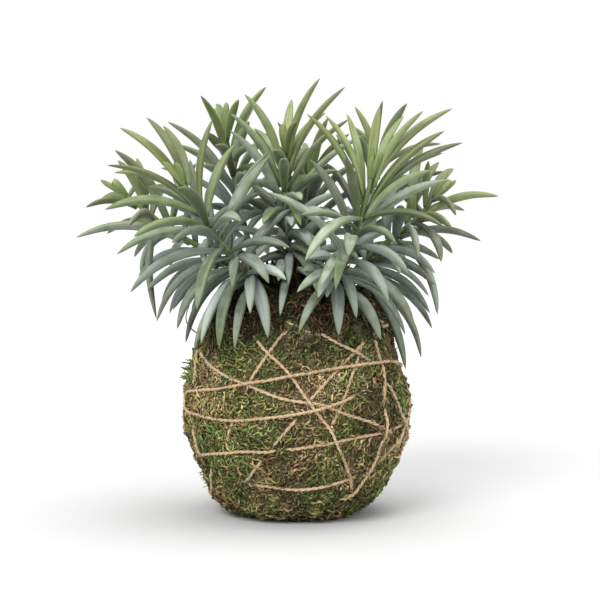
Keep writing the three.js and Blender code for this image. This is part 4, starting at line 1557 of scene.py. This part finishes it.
@dataclass
class Twine:
    """Two-ply jute twine along the whole of its CAD route, with its loose fibres.

    A covered stretch is where the twine dips under the moss and where it comes out, along it.
    """

    shape: MossShape
    seed: int = 5
    cad_sides: int = 5
    sides: int = 6
    step: float = 0.95 * MM
    pitch: float = 6.6 * MM
    ply: float = 0.60 * MM
    offset: float = 0.31 * MM
    end_taper: float = 1.5 * MM
    lying: float = 1.3 * MM
    sunk: float = 0.45 * MM
    give: float = 0.6
    dive: float = 2.6 * MM
    ease: float = 5.0 * MM
    covered: tuple = ((-9, 5), (50, 115), (281, 334), (350, 362), (379, 390), (434, 484),
                      (684, 736), (749, 765), (799, 884), (1146, 1154), (1421, 1439),
                      (1574, 1612), (1771, 1815), (1871, 1884), (2098, 2152), (2261, 2292),
                      (2490, 2574), (2608, 2622), (2670, 2700), (2827, 2919), (3013, 3092),
                      (3184, 3218), (3237, 3258), (3274, 3344), (3809, 3850))
    patchy: Drift = Drift(45.0, 8.0, 6.0)
    wander: Drift = Drift(60.0, 2.0, 0.5)
    unevenness: tuple = (Drift(240.0, 4.0, 0.16), Drift(240.0, 5.0, 0.16))
    fibre_count: int = 1900
    fibre_radius: float = 0.05

    def route(self) -> tuple[Array, Array]:
        """The centre line from the CAD twine, settled into the moss.

        Returns:
            Points at even steps, and how far the moss covers each, from 0 to 1.
        """
        cad_line = CadMesh.of("jute_twine").centre_line(self.cad_sides)
        line = evenly(smooth_line(cad_line, 10), self.step)
        run = np.arange(len(line)) * self.step
        hidden = np.zeros(len(line))
        for start, end in np.array(self.covered) * MM:
            inside = np.minimum(run - start, end - run) / self.ease + 0.5
            hidden = np.maximum(hidden, np.clip(inside, 0, 1))
        bearing, tilt, reach = self.shape.split(line)
        away = np.clip((np.abs(bearing) - 1.5) * 4, 0, 1)
        hidden = np.maximum(hidden, away * np.clip(self.patchy.along(run) - 0.6, 0, 1))
        hidden = hidden ** 2 * (3 - 2 * hidden)
        rise = (reach - self.shape.plain(tilt) - self.lying) * self.give
        out = self.shape.reach(bearing, tilt) + self.sunk + rise - hidden * self.dive
        return self.shape.way(bearing, tilt) * out[:, None] + [0, 0, self.shape.middle], hidden

    def frames(self, line: Array) -> tuple[Array, Array]:
        """Sideways and outward directions along the line.

        Args:
            line: points along the twine.

        Returns:
            The two directions at each point.
        """
        way = unit(np.gradient(line, axis=0))
        across = unit(np.cross(way, unit(line - [0, 0, self.shape.middle])))
        return across, np.cross(across, way)

    def plies(self, line: Array) -> bpy.types.Object:
        """Sweeps the two plies round each other.

        Args:
            line: points along the twine.

        Returns:
            The piece, with its twine_place attribute.
        """
        rng = np.random.default_rng(self.seed)
        across, outward = self.frames(line)
        count, ring = len(line), ring_angles(self.sides)
        run = np.arange(count) * self.step
        ends = np.clip(np.minimum(run, run[::-1]) / self.end_taper, 0.35, 1)
        points, places = [], []
        for number, uneven in enumerate(self.unevenness):
            turn = (run / self.pitch * FULL_TURN + number * math.pi
                    + self.wander.along(run, (0, number)))
            centre = line + self.offset * (across * np.cos(turn)[:, None]
                                           + outward * np.sin(turn)[:, None])
            radius = self.ply * (1 + uneven.along(run, (9, 0))) * ends
            rings = rings_round(centre, across, outward, radius, ring[None] + turn[:, None])
            points.append(rings.reshape(-1, 3))
            places.append(np.column_stack([
                np.repeat(run, self.sides), np.tile(np.abs(ring - math.pi) / math.pi, count),
                np.full(count * self.sides, number + rng.random())]))
        corners, sizes = tube_faces(count, self.sides)
        corners = np.concatenate([corners, corners + count * self.sides])
        piece = piece_of("jute_plies", np.vstack(points), corners, np.tile(sizes, 2))
        set_vectors(piece, "twine_place", np.vstack(places))
        return piece

    def fuzz(self, line: Array) -> bpy.types.Object:
        """Short loose fibres that stand off the twine.

        Args:
            line: points along the twine.

        Returns:
            The piece, with its twine_place attribute.
        """
        rng = np.random.default_rng(self.seed + 1)
        blank = Blank.swept(3, self.fibre_radius,
                            [Step(0.5, 0.3, 0.12, 0.95), Step(0.5, -0.2, 0.1, 0.8),
                             Step(0.5, 0.5, 0.0, 0.3)])
        count = self.fibre_count
        pick = rng.integers(2, len(line) - 2, count)
        across, outward = self.frames(line)
        way = np.cross(outward, across)[pick]
        turn = rng.uniform(-0.4, math.pi + 0.4, count)[:, None]
        off = across[pick] * np.cos(turn) + outward[pick] * np.sin(turn)
        start = line[pick] + off * self.ply * 1.25
        along = unit(way * rng.choice([-1, 1], count)[:, None]
                     + off * rng.uniform(0.1, 1.1, count)[:, None])
        side = unit(np.cross(off, along))
        up = np.cross(along, side)
        local = blank.points[None] * MM * rng.uniform(0.6, 1.8, count)[:, None, None]
        laid = (start[:, None] + local[..., :1] * along[:, None]
                + local[..., 1:2] * side[:, None] + local[..., 2:] * up[:, None])
        piece = piece_of("jute_fuzz", laid.reshape(-1, 3), *blank.copied(count))
        each = len(blank.points)
        set_vectors(piece, "twine_place", np.column_stack([
            np.repeat(rng.uniform(0, 4, count), each), np.tile(blank.along, count),
            np.repeat(rng.uniform(0, 2, count), each)]))
        return piece

    def build(self, line: Array) -> None:
        """Makes and dresses the twine along its points.

        Args:
            line: points along the twine.
        """
        finish = TwineFinish().material()
        finish_piece(self.plies(line), finish, "twine", "jute_twine")
        finish_piece(self.fuzz(line), finish, "twine")


# ---------------------------------------------------------------- leaves and stems


SPRIGS = ("front_left", "front_right", "centre", "back_left", "far_left", "far_right",
          "back_right", "back")

# The small leaves between the whorls: the height of the foot on the stem, the tip, how far the
# leaf bends away from the straight line between the two, and its width, all in millimetres.
SMALL_LEAVES = {
    "front_left": ((118, (-16, -50, 104), (2, -7, 7), 5.5), (122, (-5, -52, 121), (0, -8, 9), 6.5),
                   (141, (-13, -46, 180), (-2, -3, 3), 9.5), (141, (-17, -14, 161), (-4, 0, 9), 7.5),
                   (137, (-14, 2, 151), (-3, 2, 9), 7), (124, (-55, -14, 87), (-9, -2, 13), 6.5),
                   (119, (-50, -34, 85), (-7, -4, 12), 6), (122, (-46, -46, 90), (-5, -6, 12), 6.5),
                   (119, (-39, -34, 110), (-4, -3, 7), 7), (148, (-53, -4, 177), (-3, 2, 3), 5.5),
                   (146, (-59, -10, 153), (0, 3, 5), 6)),
    "centre": ((122, (-8, -52, 104), (0, -12, 8), 5), (129, (-4, -42, 118), (0, -10, 7), 5),
               (131, (11, -46, 112), (3, -10, 9), 6), (141, (12, -44, 127), (4, -8, 11), 6.5),
               (160, (2, -34, 146), (0, -8, 5), 5.5), (150, (-24, 12, 165), (-2, 2, 3), 6),
               (146, (-21, 22, 163), (-3, 3, 4), 6.5), (141, (-19, 26, 148), (-2, 3, 5), 6.5),
               (133, (-18, 24, 131), (-2, 3, 5), 7)),
    "front_right": ((122, (0, -62, 116), (2, -8, 9), 6.5), (134, (11, -68, 119), (0, -8, 9), 7),
                    (118, (1, -60, 97), (-2, -7, 8), 5.5), (150, (4, -66, 131), (-2, -5, 12), 7.5),
                    (121, (53, -24, 92), (9, -6, 12), 7), (135, (44, 8, 140), (3, 4, 5), 6)),
    "back_left": ((140, (-42, 15, 168), (-2, 0, 3), 6), (168, (-18, 20, 172), (2, 0, 5), 5.5),
                  (176, (-46, 24, 190), (-2, 0, 3), 5.5)),
    "far_left": ((146, (-70, -6, 98), (-9, -3, 11), 5), (140, (-78, 0, 119), (-8, 0, 11), 6.5),
                 (141, (-69, 16, 156), (-3, 3, 2), 6)),
    "far_right": ((118, (54, -8, 73), (9, -5, 12), 7.5), (138, (70, -4, 100), (9, -2, 11), 6.5),
                  (146, (71, -15, 127), (6, -3, 7), 6), (150, (51, 22, 161), (-2, 3, 3), 5.5)),
    "back": ((135, (19, 28, 144), (3, -4, 5), 6.5), (126, (15, 26, 135), (3, -4, 4), 6.5)),
}


@dataclass
class Foliage:
    """The leaves, whorl by whorl, and the stems that carry them.

    A leaf's section is given as shares of its width and thickness, and its rings start a
    little below its foot. Its kind is its age, from 0 at the crown to 1, a chance number and
    its tone, which is darker the higher it is, and -1 in the heart of a crown.
    """

    seed: int = 17
    levels: int = 6
    rings: int = 16
    sides: int = 12
    start: float = -0.045
    thickness: float = 4.3 * MM
    half_width: float = 0.47
    upper_bulge: float = 0.42
    lower_bulge: float = 0.56
    channel_depth: float = 0.24
    channel_width: float = 0.45
    cup: float = 0.10
    least_width: float = 0.02
    crown_fullness: float = 0.86
    heart_count: int = 6
    heart_turn: float = 2.4
    heart_lengths: tuple = (8, 13.5)
    heart_widths: tuple = (2.0, 2.9)
    heart_spreads: tuple = (0.12, 0.34)
    heart_tone: float = -1.0
    heart_below: float = 3.6 * MM
    tone: float = 0.1
    sprig_tones: dict = field(default_factory=lambda: {"front_left": 0.2, "front_right": 0.22,
                                                       "centre": -0.12, "back_left": 0.0})
    youngest: float = 168.0
    oldest: float = 126.0
    shaded_behind: float = -20.0
    shaded_tone: float = 0.45
    stem_sides: int = 10
    cad_stem_sides: int = 6
    stem_foot: float = 1.95 * MM
    stem_taper: float = 1.0 * MM

    @staticmethod
    def taper(t: Array) -> Array:
        """A leaf's width at shares of its length, as a share of its full width.

        Args:
            t: the shares of its length, from 0 at the foot.

        Returns:
            The shares of its width.
        """
        inside = np.clip(t, 0, 1)
        grow = 1 - 0.56 * np.clip(1 - inside / 0.52, 0, 1) ** 1.6
        return grow * (1 - inside ** 4.2) ** 0.8

    def stations(self) -> Array:
        """Where a leaf's rings are, closer together near the tip."""
        even = np.linspace(0, 1, self.rings)
        return self.start + (1 - self.start) * (1 - (1 - even) ** 1.25)

    def leaf_blank(self) -> Blank:
        """Models one straight leaf of length 1: a disc, extruded and narrowed to its tip.

        Returns:
            The leaf.
        """
        t = self.stations()
        width = np.maximum(self.taper(t), self.least_width)
        steps = [Step(float(b - a), scale=float(w / v))
                 for a, b, v, w in zip(t, t[1:], width, width[1:])]
        return Blank.swept(self.sides, float(width[0]), steps)

    def laid(self, blank: Blank, line: LeafLine, twist: float,
             full: float) -> tuple[Array, Array]:
        """A copy of the leaf blank, laid along a line.

        Args:
            blank: the straight leaf.
            line: the line to follow.
            twist: how far the leaf turns by its tip, in radians.
            full: its width and thickness as a share of the usual ones.

        Returns:
            The vertices and the leaf_place attribute's rows.
        """
        t = np.repeat(self.stations(), self.sides)
        wide = np.maximum(self.taper(t), self.least_width)
        across, upward = blank.points[:, 1] / wide, blank.points[:, 2] / wide
        point, side, upper = line.at(t)
        angle = (twist * t ** 2)[:, None]
        side, upper = (side * np.cos(angle) + upper * np.sin(angle),
                       upper * np.cos(angle) - side * np.sin(angle))
        channel = self.channel_depth * np.exp(-(across / self.channel_width) ** 2)
        bulge = np.where(upward > 0, self.upper_bulge - channel, self.lower_bulge)
        height = bulge * upward + self.cup * across ** 2
        rows = (point + side * (across * wide * line.width * self.half_width * full)[:, None]
                + upper * (height * wide ** 0.8 * self.thickness * full)[:, None])
        return rows, np.column_stack([np.clip(t, 0, 1), across, upward])

    def heart(self, tip: Array, way: Array, rng: np.random.Generator) -> list[LeafLine]:
        """The tiny new leaves in the middle of a crown.

        Args:
            tip: the end of the stem.
            way: the stem's direction there.
            rng: the source of chance.

        Returns:
            The leaves' lines.
        """
        flat = unit(np.cross(way, [0.31, 0.95, 0.1]))
        other = np.cross(way, flat)
        made = []
        for k in range(self.heart_count):
            turn = self.heart_turn * k + rng.uniform(-0.3, 0.3)
            out = flat * math.cos(turn) + other * math.sin(turn)
            length = rng.uniform(*self.heart_lengths) * MM
            end = tip + way * length + out * length * rng.uniform(*self.heart_spreads)
            base = tip - way * 1.5 * MM + out * 0.4 * MM
            middle = (base + end) / 2 - out * length * 0.05 + way * length * 0.12
            made.append(LeafLine.facing(np.array([base, middle, end]), unit(way * 0.2 - out),
                                        rng.uniform(*self.heart_widths) * MM))
        return made

    def gathered(self, name: str, blank: Blank, leaves: list[tuple]) -> bpy.types.Object:
        """Joins laid leaves as one piece.

        Args:
            name: the piece's name.
            blank: the straight leaf that they are copies of.
            leaves: the vertices, the leaf_place rows and the kind of each.

        Returns:
            The piece, with its leaf_place and leaf_kind attributes.
        """
        points, places, kinds = zip(*leaves)
        piece = piece_of(name, np.vstack(points), *blank.copied(len(leaves)))
        set_vectors(piece, "leaf_place", np.vstack(places))
        set_vectors(piece, "leaf_kind", np.repeat(kinds, len(blank.points), axis=0))
        return piece

    def whorl(self, sprig: str, level: int, blank: Blank, stem: Array) -> bpy.types.Object:
        """All the leaves of one whorl as one piece.

        Args:
            sprig: the sprig's name.
            level: the whorl's number from the soil up.
            blank: the straight leaf.
            stem: the points along the sprig's stem.

        Returns:
            The piece.
        """
        rng = np.random.default_rng([self.seed, SPRIGS.index(sprig), level])
        lines = LeafLine.found_in(CadMesh.of(f"{sprig}_leaves_{level}"))
        share = 1.0
        if level == self.levels:
            lines += self.heart(stem[-1], unit(stem[-1] - stem[-2]), rng)
            share = self.crown_fullness
        age = (self.levels - level) / (self.levels - 1)
        leaves = []
        for line in lines:
            full = rng.uniform(0.86, 1.16) * share
            rows, place = self.laid(blank, line, rng.normal(0, 0.16), full)
            tone = max(rng.random() * 0.8 + self.sprig_tones.get(sprig, self.tone), 0.0)
            if line.width < self.heart_below:
                tone = self.heart_tone
            leaves.append((rows, place, (age, rng.random(), tone)))
        return self.gathered(f"{sprig}_whorl_{level}", blank, leaves)

    def small_leaves(self, sprig: str, blank: Blank, stem: Array) -> bpy.types.Object:
        """The small leaves of one sprig that grow between its whorls, as one piece.

        Args:
            sprig: the sprig's name.
            blank: the straight leaf.
            stem: the points along the sprig's stem.

        Returns:
            The piece.
        """
        rng = np.random.default_rng([self.seed, SPRIGS.index(sprig), 60])
        leaves = []
        for height, tip, bend, width in SMALL_LEAVES[sprig]:
            foot = stem[int(np.argmin(np.abs(stem[:, 2] - height * MM)))]
            line = LeafLine.bent(foot, np.array(tip) * MM, np.array(bend) * MM, width * MM)
            rows, place = self.laid(blank, line, rng.normal(0, 0.2), 1.0)
            age = np.clip((self.youngest - height) / (self.youngest - self.oldest), 0, 1)
            shaded = self.shaded_tone if tip[1] > self.shaded_behind else 0.0
            tone = rng.random() * 0.5 + shaded
            leaves.append((rows, place, (age, rng.random(), tone)))
        return self.gathered(f"{sprig}_small_leaves", blank, leaves)

    def stem_line(self, sprig: str) -> Array:
        """A stem's centre line from the soil up.

        Args:
            sprig: the sprig's name.

        Returns:
            The line's points.
        """
        line = CadMesh.of(f"{sprig}_stem").centre_line(self.cad_stem_sides)
        line = line if line[0, 2] < line[-1, 2] else line[::-1]
        return smooth_line(line, 6)

    def stem(self, sprig: str, line: Array) -> bpy.types.Object:
        """One stem with the rings that fallen leaves leave on it.

        Args:
            sprig: the sprig's name.
            line: the points along its stem.

        Returns:
            The piece, with its stem_place attribute.
        """
        run = np.linspace(0, 1, len(line))
        scars = 1 + 0.10 * np.maximum(0, np.sin(run * len(line) * 1.3)) ** 3
        radius = (self.stem_foot - self.stem_taper * run) * scars
        radius[-1] *= 0.25
        piece = tube(f"{sprig}_stalk", line, radius, self.stem_sides)
        place = np.repeat(run, self.stem_sides)
        set_vectors(piece, "stem_place", np.column_stack([place] * 3))
        return piece

    def build(self) -> None:
        """Makes and dresses all stems and leaves."""
        leaf, stem = LeafFinish().material(), StemFinish().material()
        blank = self.leaf_blank()
        for sprig in SPRIGS:
            line = self.stem_line(sprig)
            finish_piece(self.stem(sprig, line), stem, "stem", f"{sprig}_stem")
            for level in range(1, self.levels + 1):
                finish_piece(self.whorl(sprig, level, blank, line), leaf, "leaf",
                             f"{sprig}_leaves_{level}")
            if sprig in SMALL_LEAVES:
                finish_piece(self.small_leaves(sprig, blank, line), leaf, "leaf")


# ---------------------------------------------------------------- studio


@dataclass
class Studio:
    """A pale floor, soft light and the camera.

    A lamp is its name, where it shines from, how wide it is in degrees, which softens its
    shadows, and its strength in watts a square metre.
    """

    distance: float = 1.1
    elevation: float = 5.0
    view_width: float = 0.300
    target: tuple = (0.0015, 0.0, 0.1069)
    sensor: float = 36.0
    floor_size: float = 6.0
    floor_light: tuple = (0.50, 0.50, 0.50)
    floor_dark: tuple = (0.46, 0.46, 0.46)
    lamps: tuple = (("key", (-0.55, -1.1, 1.1), 32, 2.4), ("fill", (0.9, -1.2, 0.5), 50, 0.7),
                    ("top", (0.15, 0.1, 1.4), 40, 2.0))

    def camera(self) -> None:
        """Puts the camera in front of the plant, a little above it."""
        data = bpy.data.cameras.new("camera")
        data.sensor_width = self.sensor
        data.lens = self.sensor * self.distance / self.view_width
        made = bpy.data.objects.new("camera", data)
        tilt = math.radians(self.elevation)
        made.location = Vector(self.target) + self.distance * Vector(
            (0, -math.cos(tilt), math.sin(tilt)))
        made.rotation_euler = (math.pi / 2 - tilt, 0, 0)
        bpy.context.scene.collection.objects.link(made)
        bpy.context.scene.camera = made

    def floor(self) -> None:
        """Lays a wide pale floor under the plant."""
        deselect()
        bpy.ops.mesh.primitive_plane_add(size=self.floor_size, location=(0, 0, 0))
        made = bpy.context.object
        made.name = "floor"
        s = Shader("floor", Roughness=0.9, Specular_IOR_Level=0.1)
        colour = s.mix(s.noise(300.0, 2.0) * 0.15, self.floor_light, self.floor_dark)
        made.data.materials.append(s.dress(Base_Color=colour))

    def lamp(self, name: str, place: tuple, spread: float, strength: float) -> None:
        """Adds a far, wide light that shines from a place towards the plant.

        Args:
            name: its name.
            place: where it shines from.
            spread: how wide it is, in degrees.
            strength: its strength, in watts a square metre.
        """
        data = bpy.data.lights.new(name, "SUN")
        data.angle = math.radians(spread)
        data.energy = strength
        made = bpy.data.objects.new(name, data)
        made.location = place
        towards = Vector(self.target) - made.location
        made.rotation_euler = towards.to_track_quat("-Z", "Y").to_euler()
        bpy.context.scene.collection.objects.link(made)

    def build(self) -> None:
        """Sets the whole studio up."""
        scene = bpy.context.scene
        scene.view_settings.view_transform = "Standard"
        scene.world = bpy.data.worlds.new("studio")
        scene.world.use_nodes = True
        sky = scene.world.node_tree.nodes["Background"]
        sky.inputs["Color"].default_value = (1, 1, 1, 1)
        sky.inputs["Strength"].default_value = 1.0
        self.camera()
        self.floor()
        for lamp in self.lamps:
            self.lamp(*lamp)


def dress_soil() -> None:
    """Gives the CAD soil its finish."""
    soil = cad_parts["root_ball"]
    soil.data.materials.clear()
    soil.data.materials.append(SoilFinish().material())
    LOG.info("%s: dressed", soil.name)


def main() -> None:
    """Builds the studio and every piece, in order."""
    logging.basicConfig(level=logging.INFO, format="%(message)s")
    Studio().build()
    shape = MossShape()
    twine = Twine(shape)
    line, hidden = twine.route()
    shape.raise_to(line[::3], hidden[::3])
    finish_piece(MossBed(shape).build(), BedFinish().material(), "moss", "moss_wrap")
    MossCoat(shape).build(line, hidden)
    twine.build(line)
    Foliage().build()
    dress_soil()


if __name__ == "__main__":
    main()
